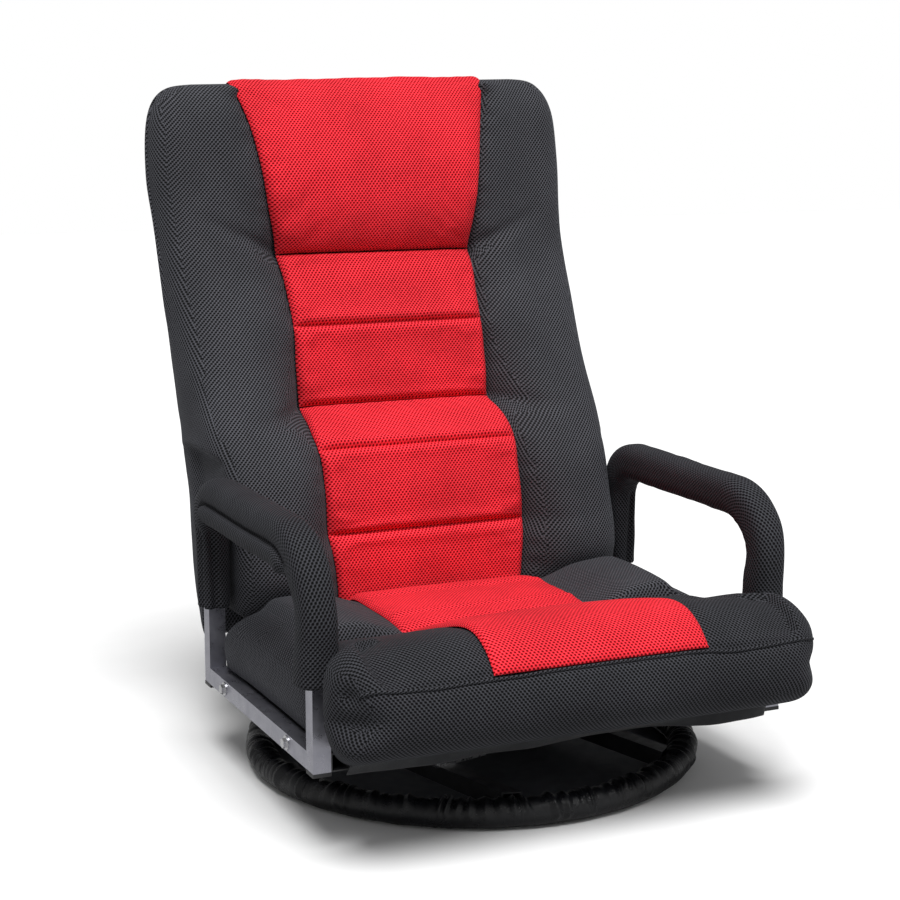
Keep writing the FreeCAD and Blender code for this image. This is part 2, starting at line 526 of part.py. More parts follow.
for side, sign in (("left", -1), ("right", 1)):
    x = sign * dim("hinge_x")
    for where, offset in (("outer", 1), ("inner", -1)):
        plate = new_body("hinge_plate_%s_%s_body" % (side, where))
        sk = sketch(plate, "YZ_Plane", "plate_%s_%s" % (side, where))
        outline(sk, plate_outline)
        hole(sk, py, pz, "dims.pin_hole")
        hole(sk, pawl_pin[0], pawl_pin[1], "dims.pawl_pin_hole")
        pad(plate, sk, "dims.hinge_plate_thick")
        put(plate, x + sign * offset * (dim("hinge_gap") + dim("hinge_plate_thick")) / 2, 0, 0)
        node(plate, "hinge_plate_%s_%s" % (side, where))

    half = dim("hinge_gap") / 2 + dim("hinge_plate_thick")
    pin = fuse(rod("dims.pin_radius", "dims.hinge_gap + 2*dims.hinge_plate_thick", x - half, py, pz, ALONG_X),
               rod("dims.pin_head", "dims.pin_head_thick", x + half, py, pz, ALONG_X),
               rod("dims.pin_head", "dims.pin_head_thick", x - half - dim("pin_head_thick"), py, pz, ALONG_X))
    node(pin, "hinge_pin_" + side)

    small = fuse(rod("dims.pawl_pin_radius", "dims.hinge_gap + 2*dims.hinge_plate_thick", x - half, pawl_pin[0], pawl_pin[1], ALONG_X),
                 rod("dims.pawl_pin_radius + 1.6", "1.5", x + half, pawl_pin[0], pawl_pin[1], ALONG_X),
                 rod("dims.pawl_pin_radius + 1.6", "1.5", x - half - 1.5, pawl_pin[0], pawl_pin[1], ALONG_X))
    node(small, "pawl_pin_" + side)

    gear = new_body("ratchet_body_" + side)
    sk = sketch(gear, "YZ_Plane", "ratchet_teeth_sketch_" + side)
    outline(sk, [polar(r, a) for r, a in teeth])
    hole(sk, py, pz, "dims.ratchet_hole")
    pad(gear, sk, "dims.ratchet_thick")
    sk = sketch(gear, "YZ_Plane", "ratchet_arm_sketch_" + side)
    w = dim("ratchet_arm_wide") / 2
    d = (math.cos(math.radians(up_back)), math.sin(math.radians(up_back)))
    a, c = dim("ratchet_root") - 8.0, dim("ratchet_arm_long")
    outline(sk, [(py + d[0] * u - d[1] * v, pz + d[1] * u + d[0] * v) for u, v in ((a, -w), (c - 8, -w), (c, -w + 8), (c, w - 8), (c - 8, w), (a, w))])
    pad(gear, sk, "dims.ratchet_thick")
    put(gear, x, 0, 0)
    node(gear, "ratchet_arm_" + side)

    # the pawl runs on the outer side of the gap and its spring fills the rest
    shift = sign * ((dim("hinge_gap") - dim("pawl_thick")) / 2 - 0.3)
    pawl = new_body("pawl_body_" + side)
    sk = sketch(pawl, "YZ_Plane", "pawl_lever_" + side)
    outline(sk, pawl_outline)
    pad(pawl, sk, "dims.pawl_thick")
    sk = sketch(pawl, "YZ_Plane", "pawl_boss_" + side)
    n = sk.addGeometry(Part.Circle(Vector(pawl_pin[0], pawl_pin[1], 0), Vector(0, 0, 1), 6.5), False)
    lock(sk, Sketcher.Constraint("Radius", n, 6.5), "2*dims.pawl_pin_radius + 0.5")
    pad(pawl, sk, "dims.pawl_thick")
    put(pawl, x + shift, 0, 0)
    node(cut(pawl, rod("dims.pawl_hole", "dims.hinge_gap", x - dim("hinge_gap") / 2, pawl_pin[0], pawl_pin[1], ALONG_X)), "pawl_" + side)

    # hairpin spring beside the pawl: an eye on the pin, one leg along the pawl and one against the plates
    hair = new_body("pawl_spring_body_" + side)
    sk = sketch(hair, "YZ_Plane", "spring_eye_sketch_" + side)
    n = sk.addGeometry(Part.Circle(Vector(pawl_pin[0], pawl_pin[1], 0), Vector(0, 0, 1), 4.6), False)
    lock(sk, Sketcher.Constraint("Radius", n, 4.6), "dims.spring_eye + dims.spring_wire")
    hole(sk, pawl_pin[0], pawl_pin[1], "dims.spring_eye")
    pad(hair, sk, "dims.spring_thick")
    for k, (ay, az, by, bz) in enumerate(((-4.0, 0.0, -9.5, 20.0), (-2.0, -3.8, -26.0, 0.5))):
        sk = sketch(hair, "YZ_Plane", "spring_leg_%d_sketch_%s" % (k, side))
        ly, lz = by - ay, bz - az
        s = dim("spring_wire") / 2 / math.hypot(ly, lz)
        oy, oz = -lz * s, ly * s
        outline(sk, [(pawl_pin[0] + p, pawl_pin[1] + q) for p, q in
                     ((ay + oy, az + oz), (ay - oy, az - oz), (by - oy, bz - oz), (by + oy, bz + oz))])
        pad(hair, sk, "dims.spring_thick")
    inner_x = x - sign * (dim("hinge_gap") / 2 - 0.3 - dim("spring_thick") / 2)
    node(put(hair, inner_x, 0, 0), "pawl_spring_" + side)

# ---------------------------------------------------------------- back frame
lean = Rotation(Vector(1, 0, 0), -dim("back_tilt"))
pivot = Vector(0, py, pz)


def on_back(x, v, u):
    """Point u up the leaning frame plane and v in front of it (towards the sitter)."""
    return pivot + lean.multVec(Vector(x, -v, u))


def back_hoop(name, radius_text, bore_text, r, bore):
    body = new_body(name)
    sk = sketch(body, "XY_Plane", name + "_section")
    n = sk.addGeometry(Part.Circle(Vector(0, 0, 0), Vector(0, 0, 1), r), False)
    sk.addConstraint(Sketcher.Constraint("Coincident", n, 3, -1, 1))
    lock(sk, Sketcher.Constraint("Radius", n, r), radius_text)
    if bore:
        n = sk.addGeometry(Part.Circle(Vector(0, 0, 0), Vector(0, 0, 1), bore), False)
        sk.addConstraint(Sketcher.Constraint("Coincident", n, 3, -1, 1))
        lock(sk, Sketcher.Constraint("Radius", n, bore), bore_text)
    path = sketch(body, "XZ_Plane", name + "_path")
    w, t, rb = 2 * dim("hoop_x"), dim("hoop_top") - dim("hoop_low"), dim("hoop_bend")
    up = Vector(0, 0, 1)
    path.addGeometry(Part.LineSegment(Vector(0, 0), Vector(0, t - rb)), False)
    path.addGeometry(Part.ArcOfCircle(Part.Circle(Vector(rb, t - rb), up, rb), math.pi / 2, math.pi), False)
    path.addGeometry(Part.LineSegment(Vector(rb, t), Vector(w - rb, t)), False)
    path.addGeometry(Part.ArcOfCircle(Part.Circle(Vector(w - rb, t - rb), up, rb), 0, math.pi / 2), False)
    path.addGeometry(Part.LineSegment(Vector(w, t - rb), Vector(w, 0)), False)
    path.addConstraint(Sketcher.Constraint("Tangent", 0, 2, 1, 2))
    path.addConstraint(Sketcher.Constraint("Tangent", 1, 1, 2, 1))
    path.addConstraint(Sketcher.Constraint("Tangent", 2, 2, 3, 2))
    path.addConstraint(Sketcher.Constraint("Tangent", 3, 1, 4, 1))
    path.addConstraint(Sketcher.Constraint("Vertical", 0))
    path.addConstraint(Sketcher.Constraint("Horizontal", 2))
    path.addConstraint(Sketcher.Constraint("Vertical", 4))
    path.addConstraint(Sketcher.Constraint("Coincident", 0, 1, -1, 1))
    path.addConstraint(Sketcher.Constraint("PointOnObject", 4, 2, -1))
    path.addConstraint(Sketcher.Constraint("Equal", 1, 3))
    lock(path, Sketcher.Constraint("Radius", 1, rb), "dims.hoop_bend")
    lock(path, Sketcher.Constraint("DistanceX", 0, 1, 4, 2, w), "2*dims.hoop_x")
    lock(path, Sketcher.Constraint("DistanceY", 0, 1, 2, 1, t), "dims.hoop_top - dims.hoop_low")
    pipe = body.newObject("PartDesign::AdditivePipe", name + "_pipe")
    pipe.Profile = sk
    pipe.Spine = (path, ["Edge%d" % i for i in range(1, 6)])
    p = on_back(-dim("hoop_x"), 0, dim("hoop_low"))
    return put(body, p.x, p.y, p.z, lean)


node(back_hoop("back_hoop_body", "dims.hoop_tube", "dims.hoop_tube - dims.hoop_wall", dim("hoop_tube"),
               dim("hoop_tube") - dim("hoop_wall")), "back_frame_hoop")

inside = dim("hoop_x") - dim("hoop_tube")
for name, key in (("back_lower_tube", "back_lower_up"), ("back_upper_tube", "back_upper_up")):
    p = on_back(-inside, 0, dim(key))
    node(cut(rod("dims.back_tube", "2*(dims.hoop_x - dims.hoop_tube)", p.x, p.y, p.z, ALONG_X),
             rod("dims.back_tube - dims.back_tube_wall", "2*(dims.hoop_x - dims.hoop_tube) + 2", p.x - 1, p.y, p.z, ALONG_X)), name)

STRAPS = (215, 290, 365, 500, 565)
straps, strap_room = [], []
for u in STRAPS:
    p = on_back(0, dim("back_strap_thick") / 2, u - dim("back_strap_wide") / 2)
    straps.append(box("dims.back_strap_long", "dims.back_strap_thick", "dims.back_strap_wide", p.x, p.y, p.z, lean))
    p = on_back(0, dim("back_strap_thick") / 2, u - dim("back_strap_wide") / 2 - dim("room"))
    strap_room.append(box("dims.back_strap_long + 2*dims.room", "dims.back_strap_thick + 2*dims.room",
                          "dims.back_strap_wide + 2*dims.room", p.x, p.y, p.z, lean))
node(group(*straps), "back_webbing")

# ---------------------------------------------------------------- back padding
front = [(138, 152), (137, 180), (146, 250), (174, 345), (240, 396), (258, 493), (290, 577), (317, 680), (338, 768), (350, 790)]
rear = [(370, 790), (376, 770), (373, 733), (360, 647), (331, 525), (308, 403), (293, 343), (286, 280), (283, 200), (278, 152), (264, 120)]
arch = [polar(57, a) for a in (-12, 10, 32, 55, 80, 105, 125, 140)]
foam = new_body("back_foam_body")
sk = sketch(foam, "YZ_Plane", "back_side")
outline(sk, front + rear + arch)
pad(foam, sk, "2*dims.back_half_top + 40")
shape = new_body("back_front_view")
sk = sketch(shape, "XZ_Plane", "back_outline")
lo, hi = dim("back_half_low"), dim("back_half_top")
half = [(lo, 90), (lo, 345), (lo + 10, 385), (lo + 16, 447), (lo + 20, 510), (lo + 24, 575), (hi - 2, 640), (hi, 690), (hi, 735), (hi - 4, 757), (hi - 15, 776),
        (hi - 36, 787), (hi - 70, 791), (0, 797)]
outline(sk, half + [(-a, b) for a, b in reversed(half[:-1])])
pad(shape, sk, "1200")
# side bolsters that stand forward of the red pads
bolster = profile_pad("back_bolster_side", "YZ_Plane", [
    (139, 153), (104, 158), (92, 176), (83, 196), (79, 215), (83, 240), (91, 262), (101, 292), (113, 322), (130, 347), (152, 377), (176, 408), (206, 452),
    (236, 508), (262, 552), (276, 570), (291, 571), (264, 493), (247, 398), (182, 345), (154, 250), (145, 180), (145, 156)], "2*dims.back_half_top + 40")
middle = profile_pad("back_bolster_gap", "XZ_Plane", both_sides([(135, 100), (135, 700)]), "1200")
core = common(fuse(foam, cut(bolster, middle)), shape)
tools = [back_hoop("back_hoop_room", "dims.hoop_tube + dims.room", "", dim("hoop_tube") + dim("room"), 0)]
for key in ("back_lower_up", "back_upper_up"):
    p = on_back(-inside, 0, dim(key))
    tools.append(rod("dims.back_tube + dims.room", "2*(dims.hoop_x - dims.hoop_tube)", p.x, p.y, p.z, ALONG_X))
tools += strap_room
for sign in (-1, 1):
    p = on_back(sign * dim("hinge_x"), 0, 30)
    tools.append(box("dims.ratchet_thick + 2*dims.room", "dims.ratchet_arm_wide + 2*dims.room", "dims.ratchet_arm_long - 30 + dims.room", p.x, p.y, p.z, lean))
    # the open foot of each leg drops into the arch
    p = on_back(sign * dim("hoop_x"), 0, dim("hoop_low") - 20)
    tools.append(rod("dims.hoop_tube + dims.room", "24", p.x, p.y, p.z, lean))
node(cut(core, *tools), "back_foam")

PADS = {
    "back_lumbar_pad": [(136, 154), (122, 158), (117, 180), (118, 215), (122, 250), (133, 300), (150, 345), (178, 372), (234, 394),
                        (238.5, 395.5), (173.3, 345.7), (145.3, 250.2), (136.3, 180.1)],
    "back_mid_pad": [(238.6, 398.4), (226, 412), (228, 450), (240, 486), (252, 505), (262, 545), (284, 573), (287.6, 576.0), (257.2, 493.4)],
    "back_head_pad": [(288.8, 579), (281, 592), (282, 640), (294, 700), (316, 752), (336, 780), (347, 788), (337.2, 768.2), (316.2, 680.2)],
}
# half-widths of the red panels at their heights
WIDTHS = {
    "back_lumbar_pad": [(123.5, 150), (124.5, 196), (129, 236), (131, 257), (131, 322), (133, 354), (131, 381), (129.5, 397)],
    "back_mid_pad": [(129.5, 396), (130, 417), (129, 458), (128.7, 495), (130, 530), (132, 561), (133, 578)],
    "back_head_pad": [(133, 577), (142, 635), (148, 673), (152, 705), (158, 736), (169, 781), (172, 792)],
}
for name, pts in PADS.items():
    side_view = profile_pad(name + "_side", "YZ_Plane", pts, "2*dims.pad_half")
    front_view = profile_pad(name + "_front", "XZ_Plane", both_sides(WIDTHS[name]), "1400")
    node(common(side_view, front_view), name)

rear_gap = 0.5
line = rear[2:-1]


def offset_line(pts, dist):
    """Points moved towards the rear, square to the line."""
    out = []
    for i, p in enumerate(pts):
        a, b = pts[max(i - 1, 0)], pts[min(i + 1, len(pts) - 1)]
        ty, tz = b[0] - a[0], b[1] - a[1]
        s = math.hypot(ty, tz)
        out.append((p[0] - tz / s * dist, p[1] + ty / s * dist))
    return out


panel = new_body("back_rear_panel_body")
sk = sketch(panel, "YZ_Plane", "rear_panel_side")
outline(sk, offset_line(line, rear_gap) + list(reversed(offset_line(line, rear_gap + dim("rear_panel_thick")))))
pad(panel, sk, "2*dims.back_half_low - 20")
node(panel, "back_rear_panel")

# ---------------------------------------------------------------- checks and files
doc.recompute()
bad = [o.Name for o in doc.Objects if set(o.State) & {"Invalid", "Error"}]
for obj in NODES:
    s = obj.Shape
    if s.isNull() or not s.isValid() or not s.Solids or s.Volume <= 0:
        bad.append("%s (shape)" % obj.Label)
if bad:
    raise SystemExit("failed objects: " + ", ".join(bad))
labels = [o.Label for o in NODES]
if len(set(labels)) != len(labels):
    raise SystemExit("labels repeat")
for obj in NODES:
    obj.Shape.exportStep("parts/%s.step" % obj.Label)
print(len(NODES), "nodes written")
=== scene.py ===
import math

import bpy
import numpy as np
from mathutils import Matrix, Vector


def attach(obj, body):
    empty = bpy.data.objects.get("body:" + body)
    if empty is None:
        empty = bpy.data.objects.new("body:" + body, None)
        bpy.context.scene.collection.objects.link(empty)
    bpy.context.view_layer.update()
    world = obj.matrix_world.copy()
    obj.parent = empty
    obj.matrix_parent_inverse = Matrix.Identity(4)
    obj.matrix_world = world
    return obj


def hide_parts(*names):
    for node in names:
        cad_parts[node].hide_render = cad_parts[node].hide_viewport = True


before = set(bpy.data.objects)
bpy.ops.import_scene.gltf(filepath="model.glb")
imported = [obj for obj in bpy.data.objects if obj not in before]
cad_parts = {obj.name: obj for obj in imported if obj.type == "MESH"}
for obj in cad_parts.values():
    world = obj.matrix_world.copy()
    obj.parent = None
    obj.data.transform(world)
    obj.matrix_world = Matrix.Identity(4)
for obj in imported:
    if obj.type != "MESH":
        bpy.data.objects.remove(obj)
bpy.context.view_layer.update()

MM = 0.001
scene = bpy.context.scene


# ------------------------------------------------------------------ curves and noise
def spline(t, p, ti):
    """Natural cubic spline through the rows of p at t, read at ti."""
    t, p, ti = np.asarray(t, float), np.asarray(p, float), np.asarray(ti, float)
    flat = p.ndim == 1
    p = p[:, None] if flat else p
    n = len(t)
    h = np.diff(t)
    a = np.zeros((n, n))
    r = np.zeros((n, p.shape[1]))
    a[0, 0] = a[-1, -1] = 1
    for i in range(1, n - 1):
        a[i, i - 1], a[i, i], a[i, i + 1] = h[i - 1], 2 * (h[i - 1] + h[i]), h[i]
        r[i] = 6 * ((p[i + 1] - p[i]) / h[i] - (p[i] - p[i - 1]) / h[i - 1])
    m = np.linalg.solve(a, r)
    k = np.clip(np.searchsorted(t, ti, side="right") - 1, 0, n - 2)
    hk = h[k][:, None]
    u, v = (t[k + 1] - ti)[:, None], (ti - t[k])[:, None]
    out = (m[k] * u ** 3 + m[k + 1] * v ** 3) / (6 * hk) + (p[k] / hk - m[k] * hk / 6) * u + (p[k + 1] / hk - m[k + 1] * hk / 6) * v
    return out[:, 0] if flat else out


def chord(p):
    p = np.asarray(p, float)
    return np.concatenate([[0], np.cumsum(np.linalg.norm(np.diff(p, axis=0), axis=1))])


def curve(p, n):
    """n points evenly spaced along a smooth line through the rows of p."""
    c = chord(p)
    fine = spline(c, p, np.linspace(0, c[-1], 600))
    s = chord(fine)
    at = np.linspace(0, s[-1], n)
    return np.stack([np.interp(at, s, fine[:, i]) for i in range(fine.shape[1])], axis=1)


def ease(a, b, x):
    t = np.clip((np.asarray(x, float) - a) / (b - a), 0, 1)
    return t * t * (3 - 2 * t)


rng = np.random.RandomState(7)
WAVES = [(rng.normal(size=3), rng.uniform(0, 6.28)) for _ in range(24)]


def cloud(p, size):
    """Smooth noise from -1 to 1 over points in mm, with features of about size mm."""
    p = np.asarray(p, float)
    out = np.zeros(p.shape[:-1])
    for i, (d, f) in enumerate(WAVES):
        out += np.sin(p @ (d * 2.4 / size) + f + i)
    return out / 6.0


# ------------------------------------------------------------------ meshes
def make(name, co, faces, uv, smooth=True):
    """Mesh object from points in mm, faces and a UV in metres for each face corner."""
    me = bpy.data.meshes.new(name)
    me.from_pydata((np.asarray(co) * MM).tolist(), [], faces)
    me.update()
    layer = me.uv_layers.new(name="UVMap")
    layer.data.foreach_set("uv", np.asarray(uv, np.float32).ravel())
    if smooth:
        me.polygons.foreach_set("use_smooth", [True] * len(me.polygons))
    ob = bpy.data.objects.new(name, me)
    scene.collection.objects.link(ob)
    return ob


def weld(ob, dist=0.00005):
    import bmesh
    bm = bmesh.new()
    bm.from_mesh(ob.data)
    bmesh.ops.remove_doubles(bm, verts=bm.verts, dist=dist)
    bmesh.ops.recalc_face_normals(bm, faces=bm.faces)
    bm.to_mesh(ob.data)
    bm.free()
    ob.data.update()
    return ob


def grid_faces(rows, cols, base=0, close_u=False, close_v=False, flip=False):
    """Quads of a rows x cols grid of points numbered from base, and their (row, col) corners unwrapped for UVs."""
    faces, at = [], []
    for r in range(rows if close_v else rows - 1):
        for c in range(cols if close_u else cols - 1):
            q = [(r, c), (r, c + 1), (r + 1, c + 1), (r + 1, c)]
            if flip:
                q.reverse()
            faces.append([base + (a % rows) * cols + (b % cols) for a, b in q])
            at += q
    return faces, at


def subdivide(ob, levels=1):
    m = ob.modifiers.new("smooth", "SUBSURF")
    m.levels = m.render_levels = levels
    return ob


def loft(name, F, R, W, rf, rr, X, off, M=(7, 12, 6), path=None, rear_off=None, side_bulge=2.0, puff=None, ring=False, Win=None, flat_ends=False):
    """Closed body through slices. Each slice runs in the (y, z) plane from F to R and reaches W to both sides.
    X and off give the front row's x and its depth along the slice. rf and rr are the corner radii. A ring's slices close on themselves round a spine R,
    where its half-width is Win."""
    K, nF = X.shape
    nC, nS, nD = M
    D = np.linalg.norm(R - F, axis=1)
    shrink = np.minimum(1, 0.94 * D / np.maximum(rf + rr, 1e-6))
    rf, rr = rf * shrink, rr * shrink
    if path is None:
        def path(k, d):
            return F[k] + (R[k] - F[k]) * (np.asarray(d) / max(D[k], 1e-6))[..., None]
    sides = []
    for k in range(K):
        a = np.linspace(0, math.pi / 2, nC + 1)
        x1, d1 = W[k] - rf[k] + rf[k] * np.sin(a), rf[k] * (1 - np.cos(a))
        d2 = np.linspace(rf[k], D[k] - rr[k], nS + 2)[1:-1]
        x2 = W[k] + side_bulge * np.sin(np.pi * (d2 - rf[k]) / max(D[k] - rf[k] - rr[k], 1e-6))
        b = np.linspace(0, math.pi / 2, nD + 1)
        x3, d3 = W[k] - rr[k] + rr[k] * np.cos(b), D[k] - rr[k] + rr[k] * np.sin(b)
        sx, sd = np.concatenate([x1, x2, x3]), np.concatenate([d1, d2, d3])
        if Win is not None:
            sx = sx + (Win[k] - W[k]) * ease(0.55 * rf[k], max(D[k] - rr[k], rf[k] + 1), sd)
        sides.append((sx, sd))
    m = len(sides[0][0]) - 1
    N = 2 * nF + 2 * (m - 1)
    loops = np.zeros((K, N, 3))
    uR, uL, share = np.zeros((K, N + 1)), np.zeros((K, N + 1)), np.zeros((K, N + 1))
    for k in range(K):
        sx, sd = sides[k]
        row = np.zeros((nF, 3))
        row[:, 0] = X[k]
        row[:, 1:] = path(k, off[k])
        mid = np.zeros((m - 1, 3))
        mid[:, 0] = sx[1:-1]
        mid[:, 1:] = path(k, sd[1:-1])
        back = np.zeros((nF, 3))
        back[:, 0] = np.linspace(W[k] - rr[k], -(W[k] - rr[k]), nF)
        back[:, 1:] = path(k, np.full(nF, D[k]) + (0 if rear_off is None else rear_off[k]))
        left = mid[::-1].copy()
        left[:, 0] *= -1
        loops[k] = np.concatenate([row, mid, back, left])
        su = np.concatenate([[0], np.cumsum(np.hypot(np.diff(sx), np.diff(sd)))])
        f = np.clip(sd / max(D[k], 1e-6), 0, 1) * (0 if ring else 1)
        across = back[0, 0] - back[:, 0]
        uR[k] = np.concatenate([X[k], X[k, -1] + su[1:-1], X[k, -1] + su[-1] + across, X[k, -1] + su[-1] + across[-1] + (su[-1] - su[1:-1])[::-1], [X[k, -1] + 2 * su[-1] + across[-1]]])
        uL[k] = np.concatenate([X[k], X[k, -1] + su[1:-1], X[k, 0] - su[-1] - across[::-1], (X[k, 0] - su[1:-1])[::-1], [X[k, 0]]])
        share[k] = np.concatenate([np.zeros(nF), f[1:-1], np.ones(nF), f[1:-1][::-1], [0]])
    if puff is not None:
        loops = puff(loops)
    if ring:
        F2, R2 = np.concatenate([F, F[:1]]), np.concatenate([R, R[:1]])
    else:
        F2, R2 = F, R
    vF, vR = chord(F2), chord(R2)
    co = loops.reshape(-1, 3)
    faces, at = grid_faces(K, N, close_u=True, close_v=ring)
    half = nF + (m - 1) + nF // 2
    uv = []
    for q in range(0, len(at), 4):
        left = min(c for _, c in at[q:q + 4]) >= half
        for r, c in at[q:q + 4]:
            k = r % K
            uv.append(((uL if left else uR)[k, c], vF[r] * (1 - share[k, c]) + vR[r] * share[k, c]))
    extra = []
    for k, turn in () if ring else ((0, True), (K - 1, False)):
        sx, sd = sides[k]
        index = np.zeros((m + 1, nF), int)
        index[0] = k * N + np.arange(nF)
        index[m] = k * N + (nF + m - 1) + np.arange(nF)[::-1]
        grid = np.zeros((m + 1, nF, 2))
        for j in range(m + 1):
            grid[j, :, 0] = np.linspace(-sx[j], sx[j], nF)
            grid[j, :, 1] = sd[j]
        for j in range(1, m):
            index[j, 0] = k * N + 2 * nF + (m - 1) + (m - 1 - j)
            index[j, -1] = k * N + nF + j - 1
            for i in range(1, nF - 1):
                index[j, i] = K * N + len(extra)
                yz = path(k, np.array([sd[j]]))[0]
                extra.append((grid[j, i, 0], yz[0], yz[1]))
        for j in range(m):
            for i in range(nF - 1):
                q = [(j, i), (j, i + 1), (j + 1, i + 1), (j + 1, i)]
                if turn:
                    q.reverse()
                faces.append([int(index[a, b]) for a, b in q])
                uv += [(grid[a, b, 0], vF[k] - grid[a, b, 1] * (1 if turn else -1)) for a, b in q]
    if extra:
        co = np.concatenate([co, np.array(extra)])
    if flat_ends:
        # the ends take the pattern flat from the side
        q = co[np.asarray(faces)]
        nrm = np.cross(q[:, 2] - q[:, 0], q[:, 3] - q[:, 1])
        nrm /= np.maximum(np.linalg.norm(nrm, axis=1), 1e-9)[:, None]
        uv = np.asarray(uv).reshape(-1, 4, 2)
        end = (np.abs(nrm[:, 0]) > 0.66) & (np.abs(nrm[:, 2]) < 0.5)
        uv[end] = q[end][:, :, 1:]
        if ring:
            above = ~end & (np.abs(nrm[:, 2]) > 0.5)
            uv[above, :, 0] = q[above][:, :, 0]
        # where the unrolled pattern would stretch, it lies flat on the face instead
        d1, d2 = uv[:, 2] - uv[:, 0], uv[:, 3] - uv[:, 1]
        flat_area = np.abs(d1[:, 0] * d2[:, 1] - d1[:, 1] * d2[:, 0])
        true_area = np.linalg.norm(np.cross(q[:, 2] - q[:, 0], q[:, 3] - q[:, 1]), axis=1)
        ratio = flat_area / np.maximum(true_area, 1e-6)
        bad = ~end & ((ratio < 0.62) | (ratio > 1.6))
        top = bad & (np.abs(nrm[:, 2]) >= np.abs(nrm[:, 1]))
        fore = bad & ~top
        uv[top] = q[top][:, :, :2]
        uv[fore] = q[fore][:, :, ::2]
        uv = uv.reshape(-1, 2)
    ob = make(name, co, faces, np.asarray(uv) * MM)
    return weld(ob)


def quarter(x, reach):
    """Rises from 0 to 1 over reach, like a quarter of an ellipse."""
    return np.sqrt(np.maximum(0, 1 - (1 - np.clip(np.asarray(x, float) / reach, 0, 1)) ** 2))


def pillow(name, E, H, normal, bulge, nx, thick=12.0, groove=2.6, lip=8.0, lat=30.0, seams=(), wrinkle=0.0, vshift=0.0):
    """Closed pad: a front sheet across the edge line E (y, z) of half-width H, bulging along normal, and a back sheet inside."""
    n = len(E)
    xi = np.sin(np.linspace(-1, 1, nx) * math.pi / 2 * 0.9) / math.sin(math.pi / 2 * 0.9)
    s = chord(E)
    ends = np.minimum(s - s[0], s[-1] - s)
    x = H[:, None] * xi[None]
    edge = H[:, None] - np.abs(x)
    near = np.minimum(edge, ends[:, None])
    up = bulge[:, None] * quarter(edge, lat) - groove * np.clip(1 - near / lip, 0, 1) ** 2
    gap = np.minimum(near, 60.0)
    for q, deep, wide in seams:
        up = up - deep * np.exp(-((s - q) / wide) ** 2)[:, None] * np.clip(edge / 10, 0, 1)
        gap = np.minimum(gap, np.abs(s - q)[:, None])
    front = np.zeros((n, nx, 3))
    front[..., 0] = x
    front[..., 1:] = E[:, None, :]
    if wrinkle:
        # short puckers that run away from the stitching
        w = wrinkle * (gap / 8) * np.exp(1 - gap / 8)
        pull = 0.6 * np.sin(x / 4.3 + 2.0 * np.sin(x / 23.0)) * np.clip(edge / 25, 0, 1) + 0.4 * np.sin(s[:, None] / 4.7 + 1.7 * np.sin(s[:, None] / 19.0)) * (edge < 30)
        up = up + w * pull * 0.55 + 0.8 * cloud(front + 50, 46) * np.clip(gap / 15, 0, 1)
    front[..., 1:] += normal[:, None, :] * up[..., None]
    back = front.copy()
    inner = np.zeros((n, nx))
    inner[1:-1, 1:-1] = 1
    back[..., 1:] -= normal[:, None, :] * (thick * np.clip(near / 14, 0, 1) * inner)[..., None]
    f1, a1 = grid_faces(n, nx)
    f2, a2 = grid_faces(n, nx, base=n * nx, flip=True)
    uv = [(x[r, c], s[r] + vshift) for r, c in a1 + a2]
    ob = make(name, np.concatenate([front.reshape(-1, 3), back.reshape(-1, 3)]), f1 + f2, np.asarray(uv) * MM)
    # how free the cloth is: held at its edges, seams and back
    free = np.clip((np.broadcast_to(gap, (n, nx)) - 2.5) / 9.0, 0, 1)
    layer = ob.data.attributes.new("free", "FLOAT", "POINT")
    layer.data.foreach_set("value", np.concatenate([free.ravel(), np.zeros(n * nx)]).astype(np.float32))
    return weld(ob)


def inflate(obs, cap=6.0, frames=20):
    """Blows the pads up as cloth held at edges and seams, with gravity off. Points move cap mm at most."""
    held = []
    for ob in obs:
        n = len(ob.data.vertices)
        free = np.zeros(n, np.float32)
        ob.data.attributes["free"].data.foreach_get("value", free)
        ob.data.attributes.remove(ob.data.attributes["free"])
        start = np.zeros(n * 3, np.float32)
        ob.data.vertices.foreach_get("co", start)
        pin = ob.vertex_groups.new(name="pin")
        for i in range(n):
            pin.add([i], float(1 - free[i]), "REPLACE")
        m = ob.modifiers.new("cloth", "CLOTH")
        c = m.settings
        c.quality = 6
        c.mass = 0.2
        c.tension_stiffness = c.compression_stiffness = 18
        c.shear_stiffness = 8
        c.bending_stiffness = 0.8
        c.air_damping = 3
        c.use_pressure = True
        c.uniform_pressure_force = 4
        c.vertex_group_mass = "pin"
        c.effector_weights.gravity = 0
        m.collision_settings.use_collision = False
        m.collision_settings.use_self_collision = False
        m.point_cache.frame_start, m.point_cache.frame_end = 1, frames
        held.append((ob, m, start.reshape(-1, 3)))
    if not held:
        return
    for f in range(1, frames + 1):
        scene.frame_set(f)
    dg = bpy.context.evaluated_depsgraph_get()
    for ob, m, start in held:
        ev = ob.evaluated_get(dg)
        me = ev.to_mesh()
        end = np.zeros(len(me.vertices) * 3, np.float32)
        me.vertices.foreach_get("co", end)
        ev.to_mesh_clear()
        move = (end.reshape(-1, 3) - start) / MM
        size = np.maximum(np.linalg.norm(move, axis=1), 1e-6)
        move *= (cap * np.tanh(size / cap) / size)[:, None]
        ob.modifiers.remove(m)
        ob.vertex_groups.clear()
        ob.data.vertices.foreach_set("co", (start + move * MM).astype(np.float32).ravel())
        ob.data.update()
        print("inflated", ob.name, "mean", round(float(size.mean()), 2), "max", round(float(size.max()), 2))
    scene.frame_set(1)


def normals(E, side=1):
    """Unit normals of a (y, z) line; side 1 points to the left of its direction."""
    t = np.gradient(E, axis=0)
    t /= np.linalg.norm(t, axis=1)[:, None]
    return np.stack([-t[:, 1], t[:, 0]], axis=1) * side


